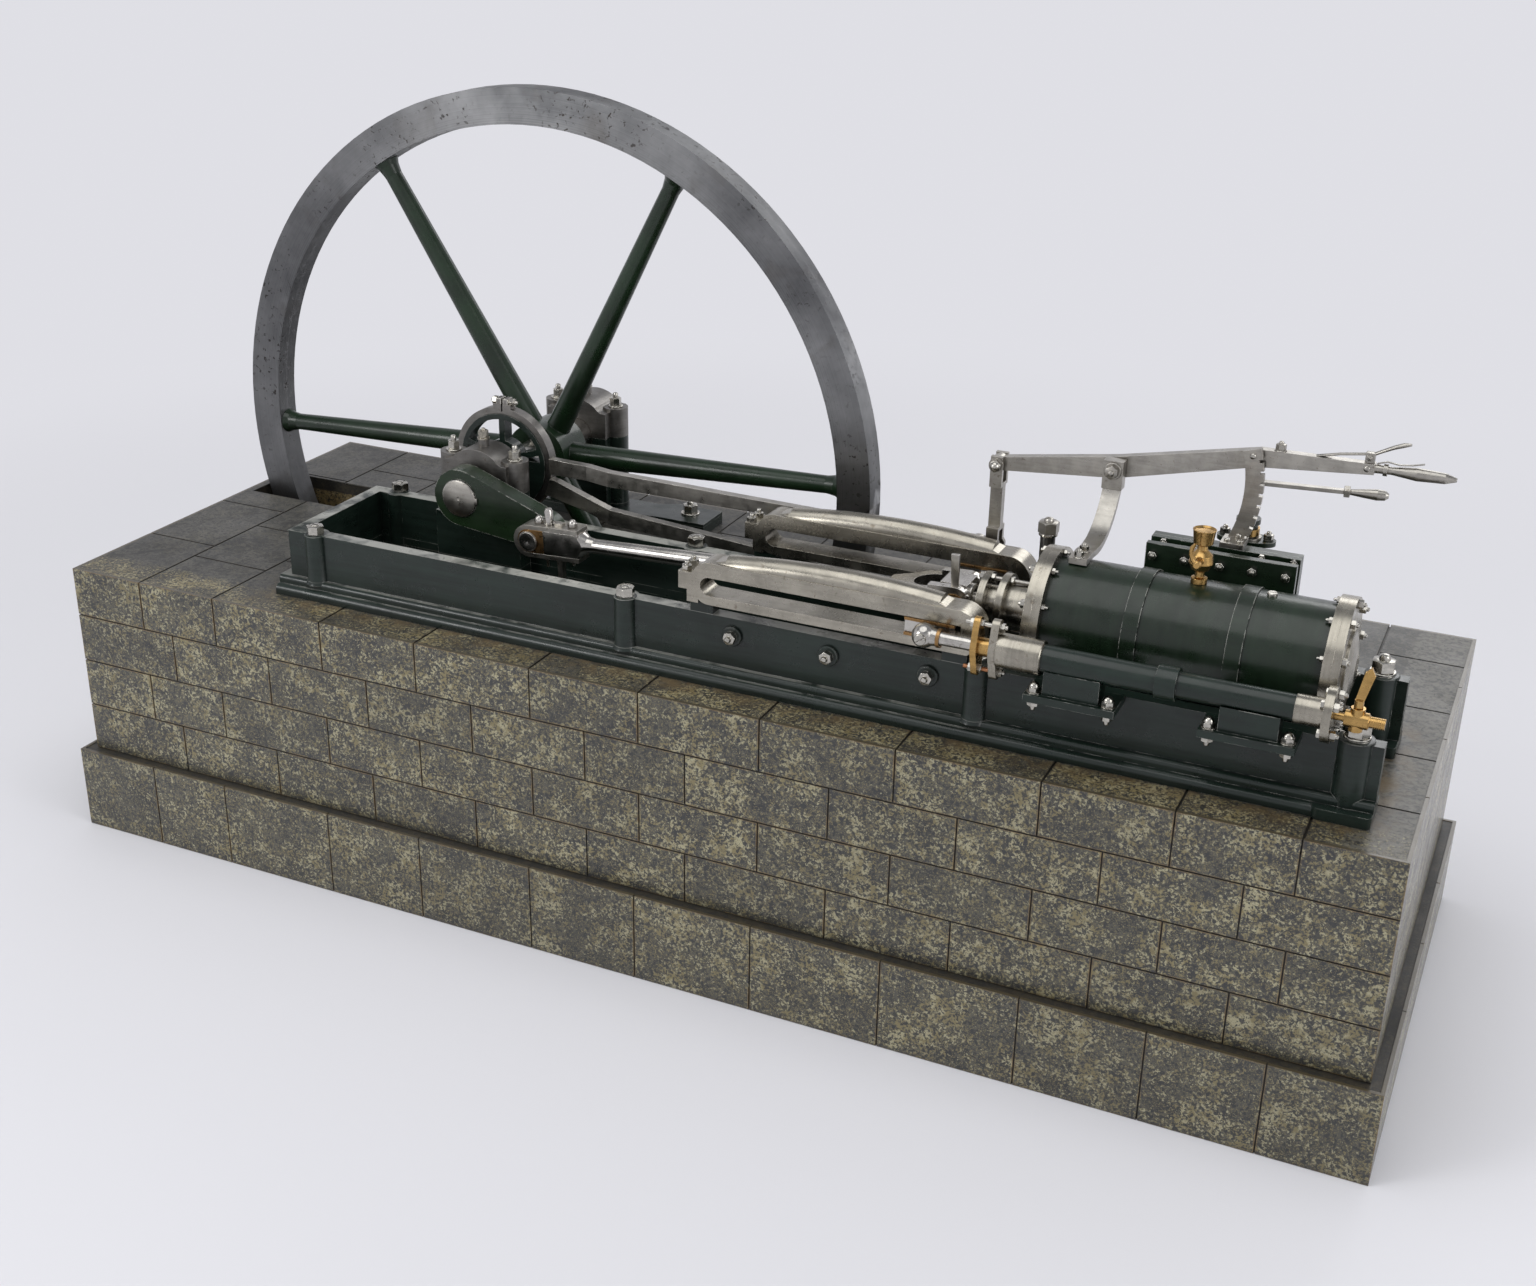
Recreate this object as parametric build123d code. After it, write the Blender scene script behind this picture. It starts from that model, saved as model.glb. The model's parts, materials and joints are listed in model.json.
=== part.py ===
from build123d import *
import math
import os

# Model of a horizontal stationary steam engine on a hollow wooden plinth.
# Millimetres. X runs from the flywheel end to the cylinder end, Y from the
# crank side to the flywheel side, Z up. The origin is the middle of the base.

# Flywheel, which sets the height of the plinth and the length of its pit
WHEEL_R = 334.0
RIM_DEPTH = 31.5
RIM_W = 25.0
HUB_R = 31.0
HUB_SIDE = 8.0
SPOKES = 6
SPOKE_ANGLE = 2.6
SPOKE_ROOT_R = 11.5
SPOKE_TIP_R = 8.0
SPOKE_FLARE = 14.0

# Plinth
SHAFT_ABOVE_TOP = 84.0
BASE_W = 442.0
BASE_H = 80.0
LEDGE = 11.0
BOARD = 12.0
END_BOARD = 9.5
PIT_SIDE = 19.0
PIT_CLEAR = 7.0
WHEEL_CLEAR = 12.0

# Shaft, crank and connecting rod
ENGINE_IN = 125.0
SHAFT_R = 17.0
CRANK_R = 84.0
CRANK_DROP = 13.0
WEB_HUB_R = 26.0
WEB_PIN_R = 16.0
WEB_T = 18.0
PIN_R = 9.0
PIN_COLLAR = 2.0
ROD_L = 390.0
ROD_THIN_R = 6.3
ROD_THICK_R = 7.8
BIG_END_T = 18.0
BIG_END_L = 49.0
BIG_END_R = 14.5
STRAP_WALL = 4.0
KEY_REACH = 35.0
FORK_L = 60.0
FORK_GAP = 13.0
FORK_ARM = 7.5
FORK_EYE_R = 15.0

# Bearings
BEARING_W = 32.0
OUTER_W = 42.0
BEARING_HALF = 44.0
CAP_CROWN = 20.0
EAR_H = 28.0
EAR_R = 12.0
OUTER_FOOT_L = 269.0
OUTER_FOOT_W = 42.0
OUTER_FOOT_T = 12.0

# Cylinder
FLANGE_R = 52.5
FLANGE_T = 6.5
COVER_T = 6.0
CYL_R = 46.0
BORE_R = 38.0
CYL_L = 206.0
CYL_GAP = 74.0
BAND_W = 12.0
BAND_T = 1.2
PISTON_ROD_R = 5.5
PISTON_T = 20.0
DOME_R = 27.0
GLAND_R = 25.0
GLAND_REACH = 46.0
CHEST_L = 114.0
LUBE_H = 40.0
STOP_ARM = 72.0
STOP_RISE = 90.0

# Bed
RAIL_T = 12.0
RAIL_H = 58.0
MOULD_W = 12.0
MOULD_LOW = 9.0
MOULD_HIGH = 7.0
BED_LEFT = 129.0
COLUMN_R = 9.5
FOOT_COLUMN_R = 13.0

# Guides and crosshead
GUIDE_T = 23.0
SLOT_HALF = 7.6
LOWER_BAR = 7.7
UPPER_BAR = 12.4
CROWN_RISE = 0.4
GUIDE_NOSE = 15.0
GUDGEON_R = 6.0
TRUNNION_R = 4.0
SLIDE_HALF = 20.0
SLIPPER = 2.2
HEAD_HALF = 12.5
STAY_R = 6.0
STAY_H = 66.0

# Eccentric and valve gear
ECC_W = 12.0
ECC_THROW = 13.0
SHEAVE_R = 44.0
STRAP_T = 6.0
ARM_H = 13.4
ARM_STEP = 4.0
ARM_T = 8.0
LEVER_T = 8.0
LEVER_SHORT = 96.0
LEVER_LONG = 192.0
LEVER_UP = 95.0
GEAR_PIN_R = 4.0
SECTOR_R = 108.0

# Feed pump
PUMP_R = 10.0
PUMP_TUBE_L = 34.0
PUMP_FOOT_L = 42.0
PLUNGER_R = 5.0
GLAND_HALF = 8.5
BALL_R = 9.5

# Fits: running in a bore, sliding in a slot, seated on a curved face, open pivot
FIT = 0.05
SLIDE_FIT = 0.3
SEAT = 0.3
PIVOT_GAP = 0.5

# Heights and lengths that follow from the flywheel
PLINTH_TOP = WHEEL_R - SHAFT_ABOVE_TOP + WHEEL_CLEAR
AXIS_Z = PLINTH_TOP + SHAFT_ABOVE_TOP
PIT_REACH = math.sqrt(WHEEL_R ** 2 - SHAFT_ABOVE_TOP ** 2) + PIT_CLEAR
LEFT_REACH = PIT_REACH + END_BOARD

# Places along X, from the shaft
CROSS_FAR = CRANK_R + ROD_L
CYL_FROM_SHAFT = CROSS_FAR + CYL_GAP
BED_RIGHT = CYL_FROM_SHAFT + CYL_L + 52.0
WALL_L = LEFT_REACH + BED_RIGHT + 32.0
WALL_X = WALL_L / 2
SHAFT_X = -WALL_X + LEFT_REACH
WALL_Y = BASE_W / 2 - LEDGE
ENGINE_Y = ENGINE_IN - BASE_W / 2
PIN_DROP = CRANK_R * math.sin(math.radians(CRANK_DROP))
PIN_X = SHAFT_X + CRANK_R * math.cos(math.radians(CRANK_DROP))
CROSS_X = PIN_X + math.sqrt(ROD_L ** 2 - PIN_DROP ** 2)
ROD_TILT = math.degrees(math.asin(PIN_DROP / ROD_L))
CYL_X0 = SHAFT_X + CYL_FROM_SHAFT
CYL_X1 = CYL_X0 + CYL_L
BED_X0 = SHAFT_X - BED_LEFT
BED_X1 = SHAFT_X + BED_RIGHT
FOOT_X = BED_X1 - 20.0

# Places along Y, from the engine's centre line
BIG_Y0 = ENGINE_Y - BIG_END_T / 2
BIG_Y1 = ENGINE_Y + BIG_END_T / 2
WEB_Y0 = BIG_Y1 + PIVOT_GAP + PIN_COLLAR
WEB_Y1 = WEB_Y0 + WEB_T
MAIN_Y0 = WEB_Y1 + 8.0
MAIN_Y1 = MAIN_Y0 + BEARING_W
ECC_Y0 = MAIN_Y1 + 14.5
ECC_Y1 = ECC_Y0 + ECC_W
GEAR_Y = (ECC_Y0 + ECC_Y1) / 2
WHEEL_Y0 = ECC_Y1 + 52.5
WHEEL_Y1 = WHEEL_Y0 + RIM_W
PIT_Y0 = WHEEL_Y0 - PIT_SIDE
PIT_Y1 = WHEEL_Y1 + PIT_SIDE
OUTER_Y0 = PIT_Y1 + BOARD + 12.0
OUTER_Y1 = OUTER_Y0 + OUTER_W
RAIL_OFF = FLANGE_R + 1.5 + RAIL_T / 2
RAIL_OUT = RAIL_OFF + RAIL_T / 2
RAIL_IN = RAIL_OFF - RAIL_T / 2
GUIDE_OFF = RAIL_OFF + 1.5
PUMP_Y = ENGINE_Y - GUIDE_OFF - GUIDE_T / 2 - GLAND_HALF - 2.5

# Bed heights, and the guides' places
BED_TOP = PLINTH_TOP + RAIL_H
MOULD_Z1 = PLINTH_TOP + MOULD_LOW
MOULD_Z2 = MOULD_Z1 + MOULD_HIGH
SLOT_X0 = SHAFT_X + ROD_L - CRANK_R - SLIDE_HALF - 7.0
SLOT_X1 = SHAFT_X + CROSS_FAR + SLIDE_HALF + 2.0
GUIDE_BOTTOM = AXIS_Z - SLOT_HALF - LOWER_BAR
GUIDE_TOP = AXIS_Z + SLOT_HALF + UPPER_BAR
SWEEP = CRANK_R + BIG_END_R + 8.5
CRANK_PIT_Y0 = ENGINE_Y - 22.0
CRANK_PIT_Y1 = MAIN_Y0 - 1.0

# Valve gear and fittings
PIVOT_X = CYL_X0 + 15.0
PIVOT_Z = AXIS_Z + LEVER_UP
EYE_X = PIVOT_X - LEVER_SHORT
EYE_Z = PIVOT_Z - 12.0
LINK_END_X = EYE_X - 14.0
LINK_END_Z = AXIS_Z + ECC_THROW - 3.0
CHEST_X0 = CYL_X0 + 53.0
CHEST_X1 = CHEST_X0 + CHEST_L
CHEST_Y0 = ENGINE_Y + CYL_R + BAND_T + 2 * SEAT
CHEST_Y1 = CHEST_Y0 + 22.0
COVER_Y1 = CHEST_Y1 + 7.0
CHEST_Z0 = AXIS_Z - 24.0
CHEST_Z1 = AXIS_Z + 46.0
LIP_Z = CHEST_Z1 + 6.0
VALVE_X = CHEST_X0 + CHEST_L * 0.56
VALVE_Y = GEAR_Y + 22.0
LUBE_X = CYL_X0 + 105.0
COCK_X = CYL_X1 + 32.0

PARTS = {}


# Shapes used again and again
def cyl_x(r, x0, x1, y=ENGINE_Y, z=AXIS_Z):
    return Pos((x0 + x1) / 2, y, z) * Rot(0, 90, 0) * Cylinder(r, x1 - x0)


def cyl_y(r, y0, y1, x, z=AXIS_Z):
    return Pos(x, (y0 + y1) / 2, z) * Rot(90, 0, 0) * Cylinder(r, y1 - y0)


def cyl_z(r, z0, z1, x, y):
    return Pos(x, y, (z0 + z1) / 2) * Cylinder(r, z1 - z0)


def block(x0, x1, y0, y1, z0, z1):
    return Pos((x0 + x1) / 2, (y0 + y1) / 2, (z0 + z1) / 2) * Box(x1 - x0, y1 - y0, z1 - z0)


def outline(points, rounds=()):
    # A face from straight edges, with the named corners rounded.
    face = make_face(Polyline(*points, close=True))
    for index, radius in rounds:
        px, py = points[index]
        corner = min(face.vertices(), key=lambda v: (v.X - px) ** 2 + (v.Y - py) ** 2)
        face = fillet(corner, radius)
    return face


def contour(start, *moves):
    # A face whose edges are lines (one point) or arcs (a point on the way, then the end).
    edges = []
    here = start
    for move in moves:
        if len(move) == 2 and isinstance(move[0], tuple):
            edges.append(ThreePointArc(here, move[0], move[1]))
            here = move[1]
        else:
            edges.append(Line(here, move))
            here = move
    if math.dist(here, start) > 0.001:
        edges.append(Line(here, start))
    return make_face(Wire(edges))


def along_x(face, x0, x1):
    return extrude(Plane.YZ.offset(x0) * face, amount=x1 - x0)


def along_y(face, y0, y1):
    return extrude(Plane.XZ.offset(-y1) * face, amount=y1 - y0)


def along_z(face, z0, z1):
    return extrude(Plane.XY.offset(z0) * face, amount=z1 - z0)


def turned_x(points, y=ENGINE_Y, z=AXIS_Z):
    # A turned piece: points are (x, radius) from the left end to the right one.
    closed = [(points[0][0], 0)] + list(points) + [(points[-1][0], 0)]
    face = make_face(Polyline(*closed, close=True))
    return Pos(0, y, z) * revolve(Plane.XY * face, Axis.X)


def turned_z(points, x, y):
    closed = [(0, points[0][0])] + [(r, h) for h, r in points] + [(0, points[-1][0])]
    face = make_face(Polyline(*closed, close=True))
    return Pos(x, y, 0) * revolve(Plane.XZ * face, Axis.Z)


def oval_x(half_y, half_z, x0, x1, y, z=AXIS_Z):
    face = Plane.YZ.offset(x0) * Pos(y, z) * Ellipse(half_z, half_y, rotation=90)
    return extrude(face, amount=x1 - x0)


def tapered_plate(x0, z0, r0, x1, z1, r1, y0, y1):
    # A plate in the X-Z plane: two round ends joined by straight flanks.
    reach = math.hypot(x1 - x0, z1 - z0)
    lean = math.atan2(z1 - z0, x1 - x0)
    turn = math.acos((r0 - r1) / reach)
    ends = []
    for x, z, r in ((x0, z0, r0), (x1, z1, r1)):
        for side in (1, -1):
            a = lean + side * turn
            ends.append((x + r * math.cos(a), z + r * math.sin(a)))
    plate = along_y(outline([ends[0], ends[2], ends[3], ends[1]]), y0, y1)
    return plate + cyl_y(r0, y0, y1, x0, z0) + cyl_y(r1, y0, y1, x1, z1)


def bowed_bar(x, z, half, half_w, bow_half, bow=7.0):
    # A bar curved about its middle; the ends follow the same arc as a bar of bow_half.
    end = x + bow * (1 - (half / bow_half) ** 2)
    mid = x + bow
    return contour((end - half_w, z + half), ((mid - half_w, z), (end - half_w, z - half)),
                   (end + half_w, z - half), ((mid + half_w, z), (end + half_w, z + half)))


def ring_y(r_out, r_in, y0, y1, x, z=AXIS_Z):
    return cyl_y(r_out, y0, y1, x, z) - cyl_y(r_in, y0 - 1, y1 + 1, x, z)


# Plinth: walls with the base course as a skirt, top boards and the pit's lining
def plinth():
    under = PLINTH_TOP - BOARD
    half_l = WALL_X + LEDGE
    half_w = WALL_Y + LEDGE
    pit_x0 = -WALL_X + END_BOARD
    pit_x1 = SHAFT_X + PIT_REACH
    inner_y = WALL_Y - BOARD
    front = block(-WALL_X, WALL_X, -WALL_Y, -inner_y, 0, under)
    PARTS["plinth_front"] = front + block(-half_l, half_l, -half_w, -WALL_Y, 0, BASE_H)
    rear = block(-WALL_X, WALL_X, inner_y, WALL_Y, 0, under)
    PARTS["plinth_rear"] = rear + block(-half_l, half_l, WALL_Y, half_w, 0, BASE_H)
    left = block(-WALL_X, pit_x0, -inner_y, inner_y, 0, under)
    left += block(-half_l, -WALL_X, -WALL_Y, WALL_Y, 0, BASE_H)
    PARTS["plinth_left"] = left + block(-WALL_X, pit_x0, PIT_Y0, PIT_Y1, under, PLINTH_TOP)
    right = block(WALL_X - BOARD, WALL_X, -inner_y, inner_y, 0, under)
    PARTS["plinth_right"] = right + block(WALL_X, half_l, -WALL_Y, WALL_Y, 0, BASE_H)
    top = block(-WALL_X, WALL_X, -WALL_Y, PIT_Y0, under, PLINTH_TOP)
    top -= block(SHAFT_X - SWEEP, SHAFT_X + SWEEP, CRANK_PIT_Y0, CRANK_PIT_Y1, under - 1, PLINTH_TOP + 1)
    PARTS["plinth_top_front"] = top
    PARTS["plinth_top_rear"] = block(-WALL_X, WALL_X, PIT_Y1, WALL_Y, under, PLINTH_TOP)
    PARTS["plinth_top_end"] = block(pit_x1, WALL_X, PIT_Y0, PIT_Y1, under, PLINTH_TOP)
    PARTS["pit_front"] = block(pit_x0, pit_x1 + BOARD, PIT_Y0 - BOARD, PIT_Y0, 0, under)
    PARTS["pit_rear"] = block(pit_x0, pit_x1 + BOARD, PIT_Y1, PIT_Y1 + BOARD, 0, under)
    PARTS["pit_end"] = block(pit_x1, pit_x1 + BOARD, PIT_Y0, PIT_Y1, 0, under)


# Bed: two moulded rails with bolt columns, the left end and the floor
def moulding_face(side):
    def wy(off):
        return ENGINE_Y + side * off
    lip = RAIL_OUT + MOULD_W
    step = RAIL_OUT + MOULD_W / 2
    points = [(wy(RAIL_IN), PLINTH_TOP), (wy(lip), PLINTH_TOP), (wy(lip), MOULD_Z1), (wy(step), MOULD_Z1),
              (wy(step), MOULD_Z2), (wy(RAIL_IN), MOULD_Z2)]
    return outline(points, ((2, MOULD_W / 2.2), (4, MOULD_W / 3)))


def inner_foot_face(side):
    def wy(off):
        return ENGINE_Y + side * off
    toe = RAIL_IN - MOULD_W
    return contour((wy(RAIL_IN), PLINTH_TOP), (wy(toe), PLINTH_TOP), (wy(toe), PLINTH_TOP + 4),
                   ((wy(toe + MOULD_W * 0.7), PLINTH_TOP + 7), (wy(RAIL_IN), MOULD_Z2)))


def rail(side):
    y = ENGINE_Y + side * RAIL_OFF
    near = BED_X0 - MOULD_W * 0.8
    part = along_x(moulding_face(side), near, BED_X1)
    part += block(BED_X0, BED_X1, y - RAIL_T / 2, y + RAIL_T / 2, PLINTH_TOP, BED_TOP)
    part += along_x(inner_foot_face(side), BED_X0 + RAIL_T, BED_X1)
    for x in (BED_X0 + 28, (BED_X0 + SLOT_X0) / 2 + 132, SLOT_X1 + 12):
        part += cyl_z(COLUMN_R, PLINTH_TOP, BED_TOP, x, y)
    part += cyl_z(FOOT_COLUMN_R, PLINTH_TOP, BED_TOP + 1, FOOT_X, y)
    foot = [(FOOT_X - 22, y - 21), (FOOT_X + 20, y - 21), (FOOT_X + 20, y + 21), (FOOT_X - 22, y + 21)]
    part += along_z(outline(foot, ((0, 6), (1, 4), (2, 4), (3, 6))), PLINTH_TOP, MOULD_Z1)
    for x in (SLOT_X0 - 12, SLOT_X1 - 16):
        part += block(x, x + 20, y - RAIL_T / 2, y + RAIL_T / 2, BED_TOP, GUIDE_BOTTOM)
    return part


def bed():
    PARTS["bed_front_rail"] = rail(-1)
    rear = rail(1)
    rear += block(SHAFT_X - BEARING_HALF, SHAFT_X + BEARING_HALF, MAIN_Y0, MAIN_Y1, PLINTH_TOP, BED_TOP)
    PARTS["bed_rear_rail"] = rear
    ys = (ENGINE_Y - RAIL_IN, ENGINE_Y + RAIL_IN)
    near = BED_X0 - MOULD_W * 0.8
    mid = (near + BED_X0) / 2
    end = block(BED_X0, BED_X0 + RAIL_T, ys[0], ys[1], PLINTH_TOP, BED_TOP)
    step = [(BED_X0, PLINTH_TOP), (near, PLINTH_TOP), (near, MOULD_Z1), (mid, MOULD_Z1), (mid, MOULD_Z2),
            (BED_X0, MOULD_Z2)]
    PARTS["bed_left_end"] = end + along_y(outline(step, ((2, 4), (4, 3))), ys[0], ys[1])
    stay_x = SLOT_X1 + 24
    stay_y = ENGINE_Y + RAIL_OFF
    stay = cyl_z(STAY_R, BED_TOP, BED_TOP + STAY_H, stay_x, stay_y)
    PARTS["stay_column"] = stay + cyl_z(STAY_R + 2, BED_TOP, BED_TOP + 4, stay_x, stay_y)
    PARTS["bed_floor"] = block(SHAFT_X + SWEEP + 3, CYL_X0 - 37, ys[0] + MOULD_W, ys[1] - MOULD_W,
                               PLINTH_TOP, PLINTH_TOP + 4)


# Bearings: a pedestal with half the bore, and a cap with two ears and an oil cup
def bearing(name, y0, y1, foot_z):
    bore = cyl_y(SHAFT_R + FIT, y0 - 1, y1 + 1, SHAFT_X)
    x0 = SHAFT_X - BEARING_HALF + EAR_R
    x1 = SHAFT_X + BEARING_HALF - EAR_R
    mid = (y0 + y1) / 2
    stand = block(x0, x1, y0, y1, foot_z, AXIS_Z)
    for x in (x0, x1):
        stand += cyl_z(EAR_R, foot_z, AXIS_Z, x, mid)
    PARTS[name + "_pedestal"] = stand - bore
    crown = SHAFT_R + CAP_CROWN
    ear = AXIS_Z + EAR_H
    shoulder = ear - 3
    waist = crown * 0.55
    cap = contour((x0, AXIS_Z), (x0, shoulder),
                  ((SHAFT_X - waist - 3, shoulder + 2), (SHAFT_X - waist, shoulder + 5)),
                  ((SHAFT_X, AXIS_Z + crown), (SHAFT_X + waist, shoulder + 5)),
                  ((SHAFT_X + waist + 3, shoulder + 2), (x1, shoulder)), (x1, AXIS_Z))
    body = along_y(cap, y0, y1)
    for x in (x0, x1):
        body += cyl_z(EAR_R, AXIS_Z, ear, x, mid)
    top = AXIS_Z + crown
    PARTS[name + "_cap"] = body + cyl_z(5, top - 5, top + 6, SHAFT_X, mid) - bore


def bearings():
    bearing("main_bearing", MAIN_Y0, MAIN_Y1, BED_TOP)
    foot_top = PLINTH_TOP + OUTER_FOOT_T
    bearing("outer_bearing", OUTER_Y0, OUTER_Y1, foot_top)
    half = OUTER_FOOT_L / 2
    waist = BEARING_HALF + 24
    pad = half - 48
    y0 = OUTER_Y0 + 3
    y1 = OUTER_Y1 - 3
    out = OUTER_Y0 + 6
    back = out + OUTER_FOOT_W
    plan = contour((SHAFT_X - half, out), (SHAFT_X - pad, out), ((SHAFT_X - waist - 9, out - 1), (SHAFT_X - waist, y0)),
                   (SHAFT_X + waist, y0), ((SHAFT_X + waist + 9, out - 1), (SHAFT_X + pad, out)),
                   (SHAFT_X + half, out), (SHAFT_X + half, back), (SHAFT_X + pad, back),
                   ((SHAFT_X + waist + 8, y1 + 3), (SHAFT_X + waist, y1)), (SHAFT_X - waist, y1),
                   ((SHAFT_X - waist - 8, y1 + 3), (SHAFT_X - pad, back)), (SHAFT_X - half, back))
    PARTS["outer_bearing_foot"] = along_z(plan, PLINTH_TOP, foot_top)


# Everything that turns with the shaft
def crankshaft():
    shaft = cyl_y(SHAFT_R, WEB_Y0 - 1.5, OUTER_Y1 + 2, SHAFT_X)
    dome_y = OUTER_Y1 + 1
    ball_r = SHAFT_R * 1.74
    dome = Pos(SHAFT_X, dome_y + SHAFT_R * 1.1 - ball_r, AXIS_Z) * Sphere(ball_r)
    reach = SHAFT_R * 2
    dome = dome & block(SHAFT_X - reach, SHAFT_X + reach, dome_y, dome_y + reach, AXIS_Z - reach, AXIS_Z + reach)
    PARTS["crankshaft"] = shaft + dome
    pin_z = AXIS_Z - PIN_DROP
    web = tapered_plate(SHAFT_X, AXIS_Z, WEB_HUB_R, PIN_X, pin_z, WEB_PIN_R, WEB_Y0, WEB_Y1)
    web += cyl_y(PIN_R + 3, WEB_Y0 - PIN_COLLAR, WEB_Y0, PIN_X, pin_z)
    PARTS["crank_web"] = web - cyl_y(SHAFT_R + FIT, WEB_Y0 - 5, WEB_Y1 + 5, SHAFT_X)


def flywheel():
    inner = WHEEL_R - RIM_DEPTH
    mid = (WHEEL_Y0 + WHEEL_Y1) / 2
    PARTS["flywheel_rim"] = ring_y(WHEEL_R, inner, WHEEL_Y0, WHEEL_Y1, SHAFT_X)
    y0 = WHEEL_Y0 - HUB_SIDE
    y1 = WHEEL_Y1 + HUB_SIDE
    hub = cyl_y(HUB_R, y0, y1, SHAFT_X)
    keep = cyl_y(inner - SEAT, y0, y1, SHAFT_X)
    root = HUB_R - 6
    tip = inner - SPOKE_FLARE
    profile = [(root, SPOKE_ROOT_R), (tip, SPOKE_TIP_R), (tip + SPOKE_FLARE * 0.6, SPOKE_TIP_R + 1.5),
               (inner, SPOKE_TIP_R + 4.0)]
    spoke = turned_z(profile, 0, 0)
    for i in range(SPOKES):
        angle = 90 - (SPOKE_ANGLE + i * 360 / SPOKES)
        hub += (Pos(SHAFT_X, mid, AXIS_Z) * Rot(0, angle, 0) * spoke) & keep
    PARTS["flywheel_spokes"] = hub - cyl_y(SHAFT_R + FIT, y0 - 5, y1 + 5, SHAFT_X)


# Eccentric: the sheave turns with the shaft; the strap carries two arms and a slotted link
def eccentric():
    cx = SHAFT_X
    cz = AXIS_Z + ECC_THROW
    strap_r = SHEAVE_R + STRAP_T
    sheave = cyl_y(SHEAVE_R, ECC_Y0, ECC_Y1, cx, cz)
    sheave -= cyl_y(SHAFT_R + FIT, ECC_Y0 - 1, ECC_Y1 + 1, SHAFT_X)
    inner = SHEAVE_R - 5
    windows = ring_y(inner, SHEAVE_R * 0.45, ECC_Y0 - 1, ECC_Y1 + 1, cx, cz)
    windows -= cyl_y(SHAFT_R + 6, ECC_Y0 - 2, ECC_Y1 + 2, SHAFT_X)
    for angle in (20, 160):
        a = math.radians(angle)
        spoke = Box(2 * SHEAVE_R, ECC_W + 4, 6)
        windows -= Pos(cx + SHEAVE_R * math.cos(a), GEAR_Y, cz + SHEAVE_R * math.sin(a)) * Rot(0, -angle, 0) * spoke
    windows -= block(cx - 3, cx + 3, ECC_Y0 - 2, ECC_Y1 + 2, cz, cz + SHEAVE_R)
    windows -= block(cx - SHEAVE_R, cx + SHEAVE_R, ECC_Y0 - 2, ECC_Y1 + 2, cz - SHEAVE_R, cz + 4)
    PARTS["eccentric_sheave"] = sheave - windows
    y0 = ECC_Y0 + 1
    y1 = ECC_Y1 - 1
    strap = cyl_y(strap_r, y0, y1, cx, cz)
    for s in (1, -1):
        z = cz + s * (strap_r + 3)
        strap += block(cx - 9, cx + 9, y0, y1, min(z, z - s * 9), max(z, z - s * 9))
        deep = z - s * (STRAP_T + 1)
        strap -= block(cx - 0.75, cx + 0.75, y0 - 1, y1 + 1, min(z, deep), max(z, deep))
    PARTS["eccentric_strap"] = strap - cyl_y(SHEAVE_R + FIT, ECC_Y0 - 2, ECC_Y1 + 2, cx, cz)
    ay0 = GEAR_Y - ARM_T / 2
    ay1 = GEAR_Y + ARM_T / 2
    x0 = cx + strap_r - 12
    x1 = cx + 88
    x2 = cx + 108
    low_end = AXIS_Z - 44
    up_z = AXIS_Z + 22
    upper = outline([(x0, up_z + 1), (x0, up_z - ARM_H), (x1, up_z - ARM_H), (x2, up_z - 4 - ARM_H),
                     (LINK_END_X, LINK_END_Z - 5), (LINK_END_X, LINK_END_Z + 4), (x2, up_z - 4), (x1, up_z)])
    lower = outline([(x0, AXIS_Z + 6), (x0, AXIS_Z - 10), (x1, AXIS_Z - 21), (x2, AXIS_Z - 31),
                     (LINK_END_X, low_end - 4), (LINK_END_X, low_end + 3), (x2, AXIS_Z - 17), (x1, AXIS_Z - 8),
                     (cx + 56, AXIS_Z + 3)])
    plan = outline([(x0, ay0 - ARM_STEP), (x1, ay0 - ARM_STEP), (x2, ay0), (LINK_END_X + 20, ay0),
                    (LINK_END_X + 20, ay1), (x2, ay1), (x1, ay1 - ARM_STEP), (x0, ay1 - ARM_STEP)])
    step = along_z(plan, AXIS_Z - SHEAVE_R * 2, AXIS_Z + SHEAVE_R * 2)
    arms = (along_y(upper, ay0 - 20, ay1 + 20) + along_y(lower, ay0 - 20, ay1 + 20)) & step
    mid_z = (LINK_END_Z + low_end) / 2
    half = (LINK_END_Z - low_end) / 2 + 7
    link = bowed_bar(LINK_END_X, mid_z, half, 8, half)
    slot = bowed_bar(LINK_END_X, mid_z, half - 16, 3, half)
    rod = arms + along_y(link, ay0, ay1) + cyl_y(8, ay0, ay1, LINK_END_X, LINK_END_Z)
    rod -= along_y(slot, ay0 - 1, ay1 + 1)
    PARTS["eccentric_rod"] = rod - cyl_y(strap_r + SEAT, ECC_Y0 - 9, ECC_Y1 + 2, cx, cz)


# Slide-bar guides: a slotted bar with a bowed half-round crown, seated on two lugs
def crown_piece(arc, centre, y):
    # The wedge of space in which one arc of the crown is kept.
    a = arc @ 0
    b = arc @ 1
    far = 1.2
    reach = [(centre.X, centre.Y)]
    for p in (a, arc @ 0.5, b):
        reach.append((centre.X + (p.X - centre.X) * far, centre.Y + (p.Y - centre.Y) * far))
    return along_y(outline(reach), y - GUIDE_T, y + GUIDE_T)


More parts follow.
